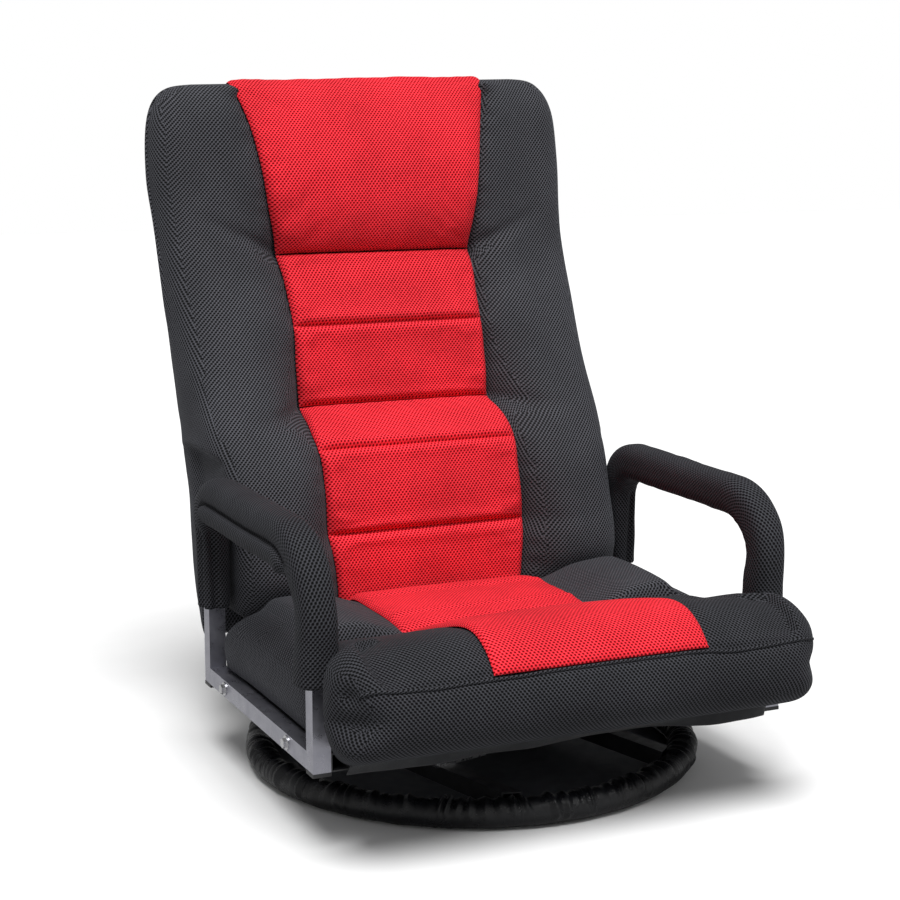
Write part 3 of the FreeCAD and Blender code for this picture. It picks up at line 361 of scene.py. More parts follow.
def tube(name, pts, radius, sides=10, closed=False, caps=True):
    """Round tube along points in mm."""
    p = np.asarray(pts, float)
    n = len(p)
    t = np.gradient(p, axis=0)
    if closed:
        t = np.roll(p, -1, 0) - np.roll(p, 1, 0)
    t /= np.linalg.norm(t, axis=1)[:, None]
    ref = np.array([0.0, 0.0, 1.0])
    a = np.cross(t, ref)
    a /= np.maximum(np.linalg.norm(a, axis=1), 1e-6)[:, None]
    b = np.cross(a, t)
    th = np.linspace(0, 2 * math.pi, sides, endpoint=False)
    r = np.broadcast_to(np.asarray(radius, float), (n,))
    co = p[:, None] + r[:, None, None] * (np.cos(th)[None, :, None] * a[:, None] + np.sin(th)[None, :, None] * b[:, None])
    faces, at = grid_faces(n, sides, close_u=True, close_v=closed)
    s = chord(p)
    s = np.append(s, s[-1] + (np.linalg.norm(p[0] - p[-1]) if closed else 0))
    uv = [(c * 2 * math.pi * r[0] / sides, s[k]) for k, c in at]
    co = co.reshape(-1, 3)
    if caps and not closed:
        for k, turn in ((0, False), (n - 1, True)):
            ring = [k * sides + i for i in range(sides)]
            faces.append(ring if turn else ring[::-1])
            uv += [(0.0, 0.0)] * sides
    return make(name, co, faces, np.asarray(uv) * MM)


# ------------------------------------------------------------------ materials
def shader(name):
    mat = bpy.data.materials.new(name)
    mat.use_nodes = True
    nt = mat.node_tree
    return mat, nt, nt.nodes["Principled BSDF"]


def add(nt, kind, **props):
    n = nt.nodes.new(kind)
    for k, v in props.items():
        setattr(n, k, v)
    return n


def math_node(nt, op, a, b=None):
    n = add(nt, "ShaderNodeMath", operation=op)
    for i, v in enumerate((a, b)):
        if v is None:
            continue
        if isinstance(v, (int, float)):
            n.inputs[i].default_value = v
        else:
            nt.links.new(v, n.inputs[i])
    return n.outputs[0]


def map_range(nt, value, a, b, c, d, smooth=True):
    n = add(nt, "ShaderNodeMapRange", interpolation_type="SMOOTHSTEP" if smooth else "LINEAR")
    nt.links.new(value, n.inputs["Value"])
    for key, v in (("From Min", a), ("From Max", b), ("To Min", c), ("To Max", d)):
        n.inputs[key].default_value = v
    return n.outputs["Result"]


def mix(nt, fac, a, b, blend="MIX"):
    n = add(nt, "ShaderNodeMix", data_type="RGBA", blend_type=blend)
    if isinstance(fac, (int, float)):
        n.inputs[0].default_value = fac
    else:
        nt.links.new(fac, n.inputs[0])
    for i, v in ((6, a), (7, b)):
        if isinstance(v, (tuple, list)):
            n.inputs[i].default_value = (*v[:3], 1)
        else:
            nt.links.new(v, n.inputs[i])
    return n.outputs[2]


def noise(nt, scale, detail=4, rough=0.55, coord="Object"):
    tc = add(nt, "ShaderNodeTexCoord")
    n = add(nt, "ShaderNodeTexNoise")
    n.inputs["Scale"].default_value = scale
    n.inputs["Detail"].default_value = detail
    n.inputs["Roughness"].default_value = rough
    nt.links.new(tc.outputs[coord], n.inputs["Vector"])
    return n.outputs["Fac"]


def bump(nt, bsdf, height, strength, distance, normal=None):
    n = add(nt, "ShaderNodeBump")
    n.inputs["Strength"].default_value = strength
    n.inputs["Distance"].default_value = distance
    nt.links.new(height, n.inputs["Height"])
    if normal is not None:
        nt.links.new(normal, n.inputs["Normal"])
    nt.links.new(n.outputs["Normal"], bsdf.inputs["Normal"])
    return n.outputs["Normal"]


def mesh_cloth(name, light, dark, sheen, tint, rough=0.86, width=4.66, height=5.51, deep=0.0009, spec=0.2, crown=(0.1, 0.1, 0.1)):
    """Spacer mesh: a lattice of small holes between raised threads, the rows along one diagonal stronger than the
    others. The crown colour is a painted highlight on the tops of the threads.
    """
    mat, nt, b = shader(name)
    tc = add(nt, "ShaderNodeTexCoord")
    wob = add(nt, "ShaderNodeTexNoise")
    wob.inputs["Scale"].default_value = 90
    wob.inputs["Detail"].default_value = 2
    nt.links.new(tc.outputs["UV"], wob.inputs["Vector"])
    soft = add(nt, "ShaderNodeVectorMath", operation="MULTIPLY_ADD")
    nt.links.new(wob.outputs["Color"], soft.inputs[0])
    soft.inputs[1].default_value = (0.0007, 0.0007, 0)
    nt.links.new(tc.outputs["UV"], soft.inputs[2])
    phases = []
    for sx in (1, -1):
        dot = add(nt, "ShaderNodeVectorMath", operation="DOT_PRODUCT")
        nt.links.new(soft.outputs[0], dot.inputs[0])
        dot.inputs[1].default_value = (sx * 2000 * math.pi / width, 2000 * math.pi / height, 0)
        phases.append(dot.outputs["Value"])
    c1 = math_node(nt, "COSINE", phases[0])
    c2 = math_node(nt, "COSINE", phases[1])
    c3 = math_node(nt, "COSINE", math_node(nt, "ADD", phases[0], phases[1]))
    total = math_node(nt, "ADD", math_node(nt, "ADD", math_node(nt, "MULTIPLY", c1, 0.32), math_node(nt, "MULTIPLY", c2, 0.46)), math_node(nt, "MULTIPLY", c3, 0.22))
    total = math_node(nt, "MULTIPLY", total, -1.0)
    thread = map_range(nt, total, -0.60, 0.08, 0, 1)
    body = mix(nt, thread, dark, light)
    # painted highlight: the tops of the threads are lightened towards the crown colour, as glints of light
    body = mix(nt, map_range(nt, total, 0.02, 0.46, 0, 0.8), body, crown)
    worn = map_range(nt, noise(nt, 9, 5, 0.6), 0.3, 0.7, 0.86, 1.12)
    fine = map_range(nt, noise(nt, 420, 2, 0.5), 0.3, 0.7, 0.88, 1.1)
    shade = add(nt, "ShaderNodeHueSaturation")
    nt.links.new(math_node(nt, "MULTIPLY", worn, fine), shade.inputs["Value"])
    nt.links.new(body, shade.inputs["Color"])
    nt.links.new(shade.outputs[0], b.inputs["Base Color"])
    r = map_range(nt, thread, 0, 1, min(1, rough + 0.1), rough - 0.06)
    nt.links.new(r, b.inputs["Roughness"])
    b.inputs["Specular IOR Level"].default_value = spec
    b.inputs["Sheen Weight"].default_value = sheen
    b.inputs["Sheen Roughness"].default_value = 0.45
    b.inputs["Sheen Tint"].default_value = (*tint, 1)
    bump(nt, b, thread, 0.55, deep)
    return mat


def plain_cloth(name, light, dark, rough, sheen, weave=900.0, shine=0.3, bump_mm=0.0002):
    """Plain woven cloth with a fine warp and weft, and soft crease shading."""
    mat, nt, b = shader(name)
    tc = add(nt, "ShaderNodeTexCoord")
    waves = []
    for axis in ("X", "Y"):
        w = add(nt, "ShaderNodeTexWave", bands_direction=axis)
        w.inputs["Scale"].default_value = weave
        w.inputs["Distortion"].default_value = 0.6
        w.inputs["Detail"].default_value = 1
        nt.links.new(tc.outputs["UV"], w.inputs["Vector"])
        waves.append(w.outputs["Fac"])
    weave_h = math_node(nt, "MAXIMUM", waves[0], waves[1])
    big = map_range(nt, noise(nt, 14, 6, 0.6), 0.3, 0.7, 0, 1)
    col = mix(nt, big, dark, light)
    col = mix(nt, map_range(nt, weave_h, 0.2, 0.9, 0.25, 0.0), col, tuple(c * 0.35 for c in dark))
    nt.links.new(col, b.inputs["Base Color"])
    nt.links.new(map_range(nt, noise(nt, 60, 4, 0.6), 0.3, 0.7, rough - 0.07, rough + 0.08), b.inputs["Roughness"])
    b.inputs["Specular IOR Level"].default_value = shine
    b.inputs["Sheen Weight"].default_value = sheen
    b.inputs["Sheen Roughness"].default_value = 0.5
    bump(nt, b, weave_h, 0.35, bump_mm)
    return mat


def painted(name, light, dark, rough, metallic, coat=0.0, grain=700, bump_mm=0.00006):
    """Painted or plated steel with a faint orange-peel surface, darker in places and uneven in roughness."""
    mat, nt, b = shader(name)
    col = mix(nt, map_range(nt, noise(nt, 26, 6, 0.62), 0.32, 0.68, 0, 1), dark, light)
    spots = map_range(nt, noise(nt, 240, 3, 0.7), 0.66, 0.78, 0, 0.35)
    col = mix(nt, spots, col, tuple(c * 0.55 for c in dark))
    nt.links.new(col, b.inputs["Base Color"])
    b.inputs["Metallic"].default_value = metallic
    nt.links.new(map_range(nt, noise(nt, 75, 5, 0.6), 0.3, 0.7, rough - 0.06, rough + 0.09), b.inputs["Roughness"])
    b.inputs["Coat Weight"].default_value = coat
    b.inputs["Coat Roughness"].default_value = 0.25
    bump(nt, b, noise(nt, grain, 2, 0.5), 0.25, bump_mm)
    return mat


def plastic(name, light, dark, rough):
    """Moulded plastic with a fine spark-eroded grain."""
    mat, nt, b = shader(name)
    nt.links.new(mix(nt, map_range(nt, noise(nt, 40, 5, 0.6), 0.3, 0.7, 0, 1), dark, light), b.inputs["Base Color"])
    nt.links.new(map_range(nt, noise(nt, 160, 4, 0.6), 0.3, 0.7, rough - 0.08, rough + 0.08), b.inputs["Roughness"])
    bump(nt, b, noise(nt, 2600, 3, 0.6), 0.3, 0.00008)
    return mat


def strap_cloth(name, light, dark):
    """Woven strap with ribs across its width."""
    mat, nt, b = shader(name)
    tc = add(nt, "ShaderNodeTexCoord")
    w = add(nt, "ShaderNodeTexWave", bands_direction="DIAGONAL")
    w.inputs["Scale"].default_value = 260
    w.inputs["Distortion"].default_value = 0.8
    nt.links.new(tc.outputs["Object"], w.inputs["Vector"])
    col = mix(nt, w.outputs["Fac"], dark, light)
    nt.links.new(mix(nt, map_range(nt, noise(nt, 20, 5), 0.3, 0.7, 0, 0.4), col, dark), b.inputs["Base Color"])
    nt.links.new(map_range(nt, w.outputs["Fac"], 0, 1, 0.85, 0.65), b.inputs["Roughness"])
    bump(nt, b, w.outputs["Fac"], 0.5, 0.0004)
    return mat


# the crown colours of the mesh cloths are painted highlights on the thread tops
RED = mesh_cloth("red_spacer_mesh", (0.82, 0.007, 0.018), (0.13, 0.0003, 0.002), 0.05, (1.0, 0.3, 0.3), spec=0.16, crown=(0.94, 0.056, 0.080))
BLACK = mesh_cloth("black_spacer_mesh", (0.0205, 0.021, 0.0245), (0.0006, 0.0006, 0.0008), 0.06, (0.75, 0.78, 0.88), spec=0.20, crown=(0.098, 0.099, 0.114))
# the front part, its piping and the arms take a darker copy of the same mesh: painted shade for these lower parts,
# which get less of the light from above
BLACK_SHADED = mesh_cloth("black_spacer_mesh_shaded", (0.0125, 0.0128, 0.0150), (0.0005, 0.0005, 0.0007), 0.035, (0.75, 0.78, 0.88), spec=0.16, crown=(0.062, 0.063, 0.073))
SATIN = plain_cloth("black_satin_cloth", (0.006, 0.0065, 0.0085), (0.003, 0.003, 0.004), 0.30, 0.0, weave=700, shine=0.42)
LINING = plain_cloth("dark_lining_cloth", (0.036, 0.037, 0.040), (0.022, 0.023, 0.026), 0.75, 0.10, weave=500)
FLOOR_CLOTH = plain_cloth("floor_panel_cloth", (0.11, 0.116, 0.135), (0.08, 0.085, 0.10), 0.6, 0.06, weave=450)
SILVER = painted("silver_grey_paint", (0.40, 0.40, 0.45), (0.32, 0.32, 0.37), 0.31, 0.85, coat=0.15)
STEEL = painted("black_coated_steel", (0.030, 0.030, 0.033), (0.014, 0.014, 0.016), 0.42, 0.0, coat=0.2, grain=900, bump_mm=0.0001)
ZINC = painted("zinc_plated_steel", (0.72, 0.72, 0.74), (0.55, 0.55, 0.56), 0.24, 1.0)
CAP = plastic("black_moulded_plastic", (0.028, 0.028, 0.030), (0.015, 0.015, 0.017), 0.5)
WEB = strap_cloth("woven_webbing", (0.055, 0.055, 0.058), (0.018, 0.018, 0.020))
THREAD = plain_cloth("sewing_thread", (0.060, 0.060, 0.064), (0.030, 0.030, 0.033), 0.7, 0.1, weave=1600)

PAINT = {"black_steel": STEEL, "grey_paint": SILVER, "zinc_steel": ZINC, "black_plastic": CAP, "black_mesh": BLACK, "red_mesh": RED,
         "base_cloth": SATIN, "lining_cloth": LINING, "webbing": WEB}


def finish_piece(ob, mat, body, replaced=()):
    ob.data.materials.clear()
    ob.data.materials.append(mat)
    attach(ob, body)
    if replaced:
        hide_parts(*replaced)
    return ob


# ------------------------------------------------------------------ backrest
# the line where the red panels meet the black sides: half-width, y, z, from the bottom up
EDGE = np.array([
    (123.5, 124.0, 152.0), (123.5, 117.5, 163.0), (123.5, 115.3, 177.0), (124.6, 115.5, 196.2), (129.3, 121.5, 236.8), (131.1, 127.3, 252.0),
    (131.2, 133.0, 288.4), (131.0, 142.3, 322.4), (132.3, 154.0, 352.0), (133.0, 169.5, 364.5), (131.3, 198.7, 380.7), (129.3, 228.3, 394.6),
    (129.8, 233.5, 417.0), (129.5, 240.7, 458.2), (128.7, 247.2, 492.5), (129.2, 258.5, 514.0), (130.0, 267.0, 532.0), (131.9, 283.0, 560.0),
    (133.2, 297.5, 578.5), (135.3, 297.8, 596.4), (142.4, 295.5, 634.8), (147.8, 296.0, 673.1), (152.4, 302.4, 705.2), (157.8, 311.5, 736.2),
    (165.0, 324.5, 766.0), (169.5, 333.5, 781.5), (172.8, 343.5, 792.5), (174.0, 354.0, 797.5), (174.0, 364.0, 795.0), (173.5, 370.5, 784.0)])
SEAM_AT = {"bottom": 0, "S5": 5, "S4": 8, "S3": 11, "S2": 14, "S1": 18, "top": 29}
LINE = curve(EDGE, 1600)
LINE_S = chord(LINE[:, 1:])
LINE_N = normals(LINE[:, 1:], 1)
kernel = np.hanning(41) / np.hanning(41).sum()
LINE_N = np.stack([np.convolve(np.pad(LINE_N[:, i], 20, mode="edge"), kernel, mode="valid") for i in range(2)], axis=1)
LINE_N /= np.linalg.norm(LINE_N, axis=1)[:, None]
AT = {key: LINE_S[int(np.argmin(np.linalg.norm(LINE - EDGE[i], axis=1)))] for key, i in SEAM_AT.items()}


def pad_from(name, parts, nx, shift, seam=2.6):
    """One red pad made of channels. parts are (lower seam, upper seam, bulge heights along it, reach at its lower and upper seam)."""
    at, bulge, seams = [], [], []
    for i, (lo, hi, high, low_reach, high_reach) in enumerate(parts):
        length = AT[hi] - AT[lo]
        n = max(10, int(round(length / 3.6)))
        v = 0.5 - 0.5 * np.cos(np.linspace(0, math.pi, n))
        v = (0.55 * v + 0.45 * np.linspace(0, 1, n)) * length
        b = np.interp(v / length, np.linspace(0, 1, len(high)), high) * quarter(v, low_reach) * quarter(length - v, high_reach)
        if i:
            v, b = v[1:], b[1:]
            seams.append((AT[lo] - AT[parts[0][0]], seam, 3.2))
        at.append(AT[lo] + v)
        bulge.append(b)
    at, bulge = np.concatenate(at), np.concatenate(bulge)
    E = np.stack([np.interp(at, LINE_S, LINE[:, i]) for i in (1, 2)], axis=1)
    nor = np.stack([np.interp(at, LINE_S, LINE_N[:, i]) for i in (0, 1)], axis=1)
    nor /= np.linalg.norm(nor, axis=1)[:, None]
    return pillow(name, E, np.interp(at, LINE_S, LINE[:, 0]), nor, bulge, nx, thick=13, seams=seams, wrinkle=1.5, vshift=shift + at[0])


lumbar = pad_from("back_lumbar_cover", [("bottom", "S5", (8, 8), 25, 22), ("S5", "S4", (12, 12), 27, 26), ("S4", "S3", (10, 9), 24, 16)], 61, 0.0)
middle = pad_from("back_mid_cover", [("S3", "S2", (15, 12), 34, 20), ("S2", "S1", (12, 12), 27, 20)], 61, 0.0)
head = pad_from("back_head_cover", [("S1", "top", (21, 20, 18, 14, 9, 4, 2.0, 1.5), 46, 10)], 67, 0.0)

inflate([lumbar, middle, head])

# front of the side bolsters, rear and half-width, from the bottom up
BACK = np.array([
    (139, 151, 262, 108, 250), (119, 153.5, 269, 124, 251), (104, 160, 274.5, 142, 251.5), (93, 175, 279, 160, 252.5), (85, 196, 281.5, 182, 253), (81, 216, 283, 204, 253.5),
    (84, 240, 284, 230, 254), (92, 263, 285.5, 255, 254.5), (102, 292, 288, 284, 255.5), (114, 322, 291, 314, 258), (131, 348, 295, 342, 261.5), (153, 378, 302, 372, 265.5),
    (177, 409, 309.5, 404, 268), (207, 453, 320, 450, 270.5), (236, 508, 332, 506, 273.5), (258, 548, 341, 550, 275.5), (276, 588, 349, 592, 277), (290, 630, 358, 636, 279),
    (299, 668, 366, 674, 281.5), (305, 702, 371, 708, 281), (312, 736, 374.5, 740, 279), (321, 761, 376.5, 763, 273.5), (331, 778, 375.5, 779, 264), (340, 788, 371, 789, 250.5),
    (348.5, 792.5, 364.5, 792.8, 234), (356, 794, 357, 794, 215)], float)
KB = 200
TOPK = len(BACK) - 1
# slices closer together near the top edge
bi = np.concatenate([np.linspace(0, 20, 156, endpoint=False), np.linspace(20, TOPK, KB - 156)])
prof = spline(np.arange(len(BACK), dtype=float), BACK, bi)
BF, BR, BW = prof[:, 0:2], prof[:, 2:4], prof[:, 4]
BR[-1] = BF[-1] + [0.4, 0.0]
arch = np.array([(139, 151), (141, 161), (150, 172), (166, 180.5), (185, 183), (205, 179.5), (222, 169.5), (234, 154), (240, 137), (242, 122), (249, 110), (262, 108)], float)
arch_s = chord(arch) / chord(arch)[-1]
BD = np.linalg.norm(BR - BF, axis=1)


def back_path(k, d):
    f = np.asarray(d, float) / max(BD[k], 1e-6)
    straight = BF[k] + (BR[k] - BF[k]) * f[..., None]
    w = 1 - ease(0, 3.6, bi[k])
    if w <= 0:
        return straight
    g = np.clip(f, 0, 1)
    bowed = np.stack([np.interp(g, arch_s, arch[:, i]) for i in range(2)], axis=-1)
    bowed = bowed + (BF[k] - arch[0]) * (1 - g)[..., None] + (BR[k] - arch[-1]) * g[..., None]
    return straight * (1 - w) + bowed * w


def seam_depth(k):
    """Depth below the bolster's front, and half-width, of the red panels' edge on one slice."""
    dirn = (BR[k] - BF[k]) / max(BD[k], 1e-6)
    nrm = np.array([-dirn[1], dirn[0]])
    rel = LINE[:1480, 1:] - BF[k]
    across, along = rel @ nrm, rel @ dirn
    i = np.where(np.sign(across[:-1]) != np.sign(across[1:]))[0]
    i = i[np.abs(along[i]) < 90]
    if len(i) == 0:
        j = int(np.argmin(np.abs(across) + 0.3 * np.abs(along)))
        return np.clip(along[j], -12, 60), LINE[j, 0]
    j = i[np.argmin(np.abs(along[i]))]
    f = across[j] / (across[j] - across[j + 1])
    return along[j] + f * (along[j + 1] - along[j]), LINE[j, 0] + f * (LINE[j + 1, 0] - LINE[j, 0])


depth = np.array([seam_depth(k) for k in range(KB)])
SD, SH = depth[:, 0], depth[:, 1]
nA, nB = 26, 15
RFRONT = np.interp(BF[:, 1], [150, 300, 420, 600, 760], [36, 40, 44, 46, 40])
RREAR = np.full(KB, 22.0)
shr = np.minimum(1, 0.94 * BD / (RFRONT + RREAR))
X = np.zeros((KB, 2 * nA + nB))
OFF = np.zeros_like(X)
bz = BF[:, 1]
for k in range(KB):
    inner = BW[k] - RFRONT[k] * shr[k]
    h = min(SH[k], inner - 12)
    v = np.linspace(0, 1, nA) ** 1.3
    right = h + (inner - h) * v
    X[k] = np.concatenate([-right[::-1], np.linspace(-h, h, nB + 2)[1:-1], right])
    out = right - h
    # the folds beside the seams run outwards and up at the head, outwards and slightly down at the waist
    lean = np.interp(bz[k], [330, 394, 470, 577, 640], [-0.1, -0.2, 0.3, 0.75, 0.6])
    sd = np.interp(bz[k] - lean * out * np.clip(out / 40, 0, 1), bz, SD)
    fall = 1 - ease(0.93, 1.0, bi[k] / TOPK)
    flat = np.clip(1 - v / 0.82, 0, 1) ** 1.9
    crown = 7.0 * 6.75 * v * (1 - v) ** 2
    groove = 4.0 * np.clip(1 - out / 11.0, 0, 1) ** 2
    dep = sd * flat * fall - crown * fall + groove * (0.4 + 0.6 * fall)
    # folds that run out from the seams above the waist and below the head
    for zc, tilt, deep in ((577.0, 0.55, 6.5), (396.0, -0.12, 6.0), (253.0, 0.0, 1.5)):
        dep = dep + deep * np.exp(-((bz[k] - zc - tilt * out) / 10.0) ** 2) * (1 - v ** 2) * fall
    # stitched edge: short puckers in the black cover beside the red panels
    dep = dep + 0.7 * np.sin(bz[k] / 4.9 + 1.6 * math.sin(bz[k] / 17.0)) * np.exp(-((out - 9) / 9.0) ** 2)
    OFF[k] = np.concatenate([dep[::-1], np.full(nB, SD[k] * fall + 11.0 * min(1, BD[k] / 60)), dep])


def soft(P):
    """Slight unevenness of filled fabric."""
    P = P.copy()
    n = cloud(P, 85) * 1.3 + cloud(P + 400, 34) * 0.5
    P[..., 1] += n * 0.9
    P[..., 0] += n * 0.5 * np.sign(P[..., 0]) * (np.abs(P[..., 0]) > 200)
    return P


def back_puff(P):
    P = soft(P)
    # between the arms the sides stay narrow at the front and swell behind the arms
    y, z = P[..., 1], P[..., 2]
    wide = 254.5 + 9.0 * ease(172, 205, y - 0.27 * (z - 126)) + 60 * ease(345, 380, z)
    swell = 6.0 * ease(180, 220, y) * (1 - ease(330, 380, z)) * (np.abs(P[..., 0]) > 225) * ease(225, 250, np.abs(P[..., 0]))
    P[..., 0] = np.sign(P[..., 0]) * np.minimum(np.abs(P[..., 0]) + swell, wide)
    # the cover passes below the head panel at the top edge
    tuck = ease(735, 788, z) * (1 - ease(150, 176, np.abs(P[..., 0])))
    P[..., 2] -= 9.0 * tuck
    P[..., 1] += (6.0 * (y < 352) - 5.0 * (y > 360)) * tuck
    return P


REAR_OFF = np.zeros((KB, X.shape[1]))
xr = np.linspace(1, -1, X.shape[1])
REAR_OFF += 4.0 * (1 - np.abs(xr) ** 2.5)[None] * np.clip(BD / 60, 0, 1)[:, None]
# groove of the sewn-in rear panel
for k in range(KB):
    REAR_OFF[k] -= 2.2 * np.exp(-((np.abs(xr) - 0.86) / 0.018) ** 2) * ease(1, 3, bi[k]) * (1 - ease(19, 21, bi[k]))
REAR_OFF -= 2.4 * np.exp(-((bi - 20.2) / 0.16) ** 2)[:, None] * (np.abs(xr) < 0.86)[None]
back = loft("back_cover", BF, BR, BW, RFRONT, RREAR, X, OFF, M=(9, 12, 6), path=back_path, rear_off=REAR_OFF, side_bulge=3.0, puff=back_puff, flat_ends=True)


def settle(ob):
    """The filled top of the back sits a little lower on its left side."""
    n = len(ob.data.vertices)
    co = np.zeros(n * 3, np.float32)
    ob.data.vertices.foreach_get("co", co)
    co = co.reshape(-1, 3)
    co[:, 2] += 0.018 * co[:, 0] * ease(0.60, 0.79, co[:, 2]) - 0.0012 * ease(0.74, 0.80, co[:, 2])
    ob.data.vertices.foreach_set("co", co.astype(np.float32).ravel())
    ob.data.update()


settle(head)
settle(back)
for ob, nodes in ((lumbar, ["back_lumbar_pad"]), (middle, ["back_mid_pad"]), (head, ["back_head_pad"])):
    subdivide(ob)
    finish_piece(ob, RED, "backrest", nodes)
subdivide(back)
finish_piece(back, BLACK, "backrest", ["back_foam", "back_rear_panel"])


# ------------------------------------------------------------------ seat, rear part
SEAT = np.array([
    (92, 109, 88, 108), (98, 121, 82, 108), (101, 136, 76, 108), (100, 152, 70, 108), (95, 166, 60, 108), (86, 177, 50, 108), (73, 183.5, 40, 108),
    (52, 186, 26, 108), (20, 186.5, 8, 108), (-20, 186.5, -14, 108), (-48, 185.5, -40, 108), (-66, 183.5, -58, 108), (-76, 180.5, -70, 108), (-80.5, 174, -77, 108),
    (-81, 155, -79.5, 108), (-81, 128, -80.5, 108.5)], float)
KS = 76
si = np.linspace(0, len(SEAT) - 1, KS)
prof = spline(np.arange(len(SEAT), dtype=float), SEAT, si)
SF, SR = prof[:, :2], prof[:, 2:]
SDp = np.linalg.norm(SR - SF, axis=1)
nX = 71
SW = 262.0 - 4 * (1 - ease(0, 3, si))
SRF = np.full(KS, 38.0)
SRR = np.full(KS, 8.0)
sshr = np.minimum(1, 0.94 * SDp / (SRF + SRR))
SX = np.zeros((KS, nX))
SO = np.zeros((KS, nX))
for k in range(KS):
    inner = SW[k] - SRF[k] * sshr[k]
    x = np.linspace(-inner, inner, nX)
    SX[k] = x
    a = np.abs(x)
    flat = ease(3.0, 7.0, si[k]) * (1 - ease(11.0, 13.0, si[k]))
    side = 15.0 * ease(117, 176, a) * (1 - 0.15 * ease(205, 240, a))
    hide = 9.0 * (1 - ease(110, 118, a))
    groove = 1.6 * np.exp(-((a - 122) / 5.0) ** 2)
    pucker = 0.6 * math.sin(SF[k, 0] / 4.4 + 1.5 * math.sin(SF[k, 0] / 15)) * np.exp(-((a - 131) / 8.0) ** 2)
    SO[k] = -side * flat + hide * (0.15 + 0.85 * flat) + (groove + pucker) * flat


def right_fill(P):
    """The right side of the seat is filled higher, in one line from the back to the front part."""
    lift = 8.5 * ease(135, 222, P[..., 0]) * ease(125, 172, P[..., 2]) * (1 - ease(-105, -168, P[..., 1])) * ease(95, 55, P[..., 1])
    P[..., 2] += lift
    return P


def seat_puff(P):
    P = soft(P)
    # the cover swells over the rails between the arms, most at the rear
    a, y, z = np.abs(P[..., 0]), P[..., 1], P[..., 2]
    w = ease(215, 262, a) * np.exp(-((z - 147) / np.where(z < 147, 62.0, 34.0)) ** 2)
    P[..., 0] += np.sign(P[..., 0]) * (9.0 + 4.0 * ease(20, 95, y)) * w
    P[..., 1] += 26.0 * ease(215, 258, a) * ease(45, 98, y) * np.exp(-((z - 138) / 40.0) ** 2)
    a = np.abs(P[..., 0])
    P[..., 1] -= 109.0 * ease(226, 252, a) * np.clip(-P[..., 1] / 81.0, 0, 1)
    P[..., 1] = np.where(a > 262, np.minimum(P[..., 1], 111.5), np.minimum(P[..., 1], 127.0))
    return right_fill(P)


seat = loft("seat_cover", SF, SR, SW, SRF, SRR, SX, SO, M=(7, 8, 3), side_bulge=2.0, puff=seat_puff, flat_ends=True)
subdivide(seat)
finish_piece(seat, BLACK, "seat", ["seat_cushion"])

# red middle of the seat, with two sewn ridges
raw = np.array([(99, 160), (96, 172), (88, 180.5), (74, 185.5), (48, 187), (10, 187), (-30, 186.7), (-55, 185), (-70, 182), (-79.5, 175.5)], float)
line = curve(raw, 60)
nor = normals(line, -1)
s = chord(line)
bul = 6.0 * quarter(s, 40) * quarter(s[-1] - s, 30)
ridge = [(s[int(np.argmin(np.abs(line[:, 0] - q)))], -3.0, 3.6) for q in (48.0, -36.0)]
seat_red = pillow("seat_red_panel", line, np.full(60, 121.0), nor, bul, 57, thick=10, lat=24, seams=ridge, wrinkle=0.9, vshift=900.0)
inflate([seat_red], 4.0)
subdivide(seat_red)
finish_piece(seat_red, RED, "seat", [])


# ------------------------------------------------------------------ seat, front part
# outline of the raised front, once round from the rear of its underside over the top to the front and back below
ROLL = np.array([
    (-84, 108.5), (-81, 116), (-80.5, 135), (-80.5, 155), (-81.5, 171), (-86, 180.5), (-100, 186), (-122, 193.5), (-160, 206.5), (-200, 219.5), (-235, 229.5), (-262, 233.5),
    (-281, 232), (-298, 225.5), (-313, 215.5), (-325, 204), (-333.5, 190.5), (-338.5, 173), (-338, 155), (-332.5, 139.5), (-322, 127.5), (-307, 119), (-288, 111.5), (-265, 103),
    (-245, 96), (-234, 92.5), (-227, 94.5), (-222, 102), (-208, 106.5), (-170, 107.5), (-120, 107.8), (-92, 107.8)], float)
closed = np.concatenate([ROLL, ROLL[:1]])
KF = 150
FF = curve(closed, KF + 1)[:-1]
fy, fz = FF[:, 0], FF[:, 1]
top_side = fz > 150
FR = np.stack([np.clip(fy, -268, -112), np.interp(fy, [-268, -200, -112], [158, 150, 142])], axis=1)
FDp = np.linalg.norm(FR - FF, axis=1)
# half-width: inside the arms at the rear, wider in front of them, rounded towards the front and the underside
def between(y):
    """Half-width of the front part: inside the arms at the rear and wide in front of them."""
    return 254 + 33.5 * ease(-237, -267, y)


FW = between(fy)
turn = np.clip((-fy - 296) / 43.0, 0, 0.995)
FW = FW - 26 * (1 - np.sqrt(1 - turn ** 2))
low = np.clip((138 - fz) / 46.0, 0, 0.995) * (fy < -225)
FW = FW - 24 * (1 - np.sqrt(1 - low ** 2))
FWIN = between(FR[:, 0])
FRF = np.where(top_side, 40.0, 30.0)
FRF = np.convolve(np.pad(FRF, 6, mode="wrap"), np.ones(13) / 13, mode="valid")
FRR = np.full(KF, 3.0)
fshr = np.minimum(1, 0.94 * FDp / (FRF + FRR))
nX = 81
FX = np.zeros((KF, nX))
FO = np.zeros((KF, nX))
over = ease(171, 181, fz) * (1 - ease(-318, -330, fy))        # 1 on the upper side, behind the piping
PIPE_K = int(np.argmin(np.hypot(fy + 328.0, fz - 200.5)))
along = chord(FF)


def pipe_drop(x):
    """How far the piping lies below its middle height along the front edge."""
    return np.interp(x, [-290, -279, -262, -225, -190, -140, -60, 0, 100, 122, 150, 185, 230, 262, 278, 290], [9, 5, 1.5, 2.0, 4.0, 2.0, 0, -1, 0, 1.2, 6.5, 6.0, 4.5, 5.5, 8, 10])


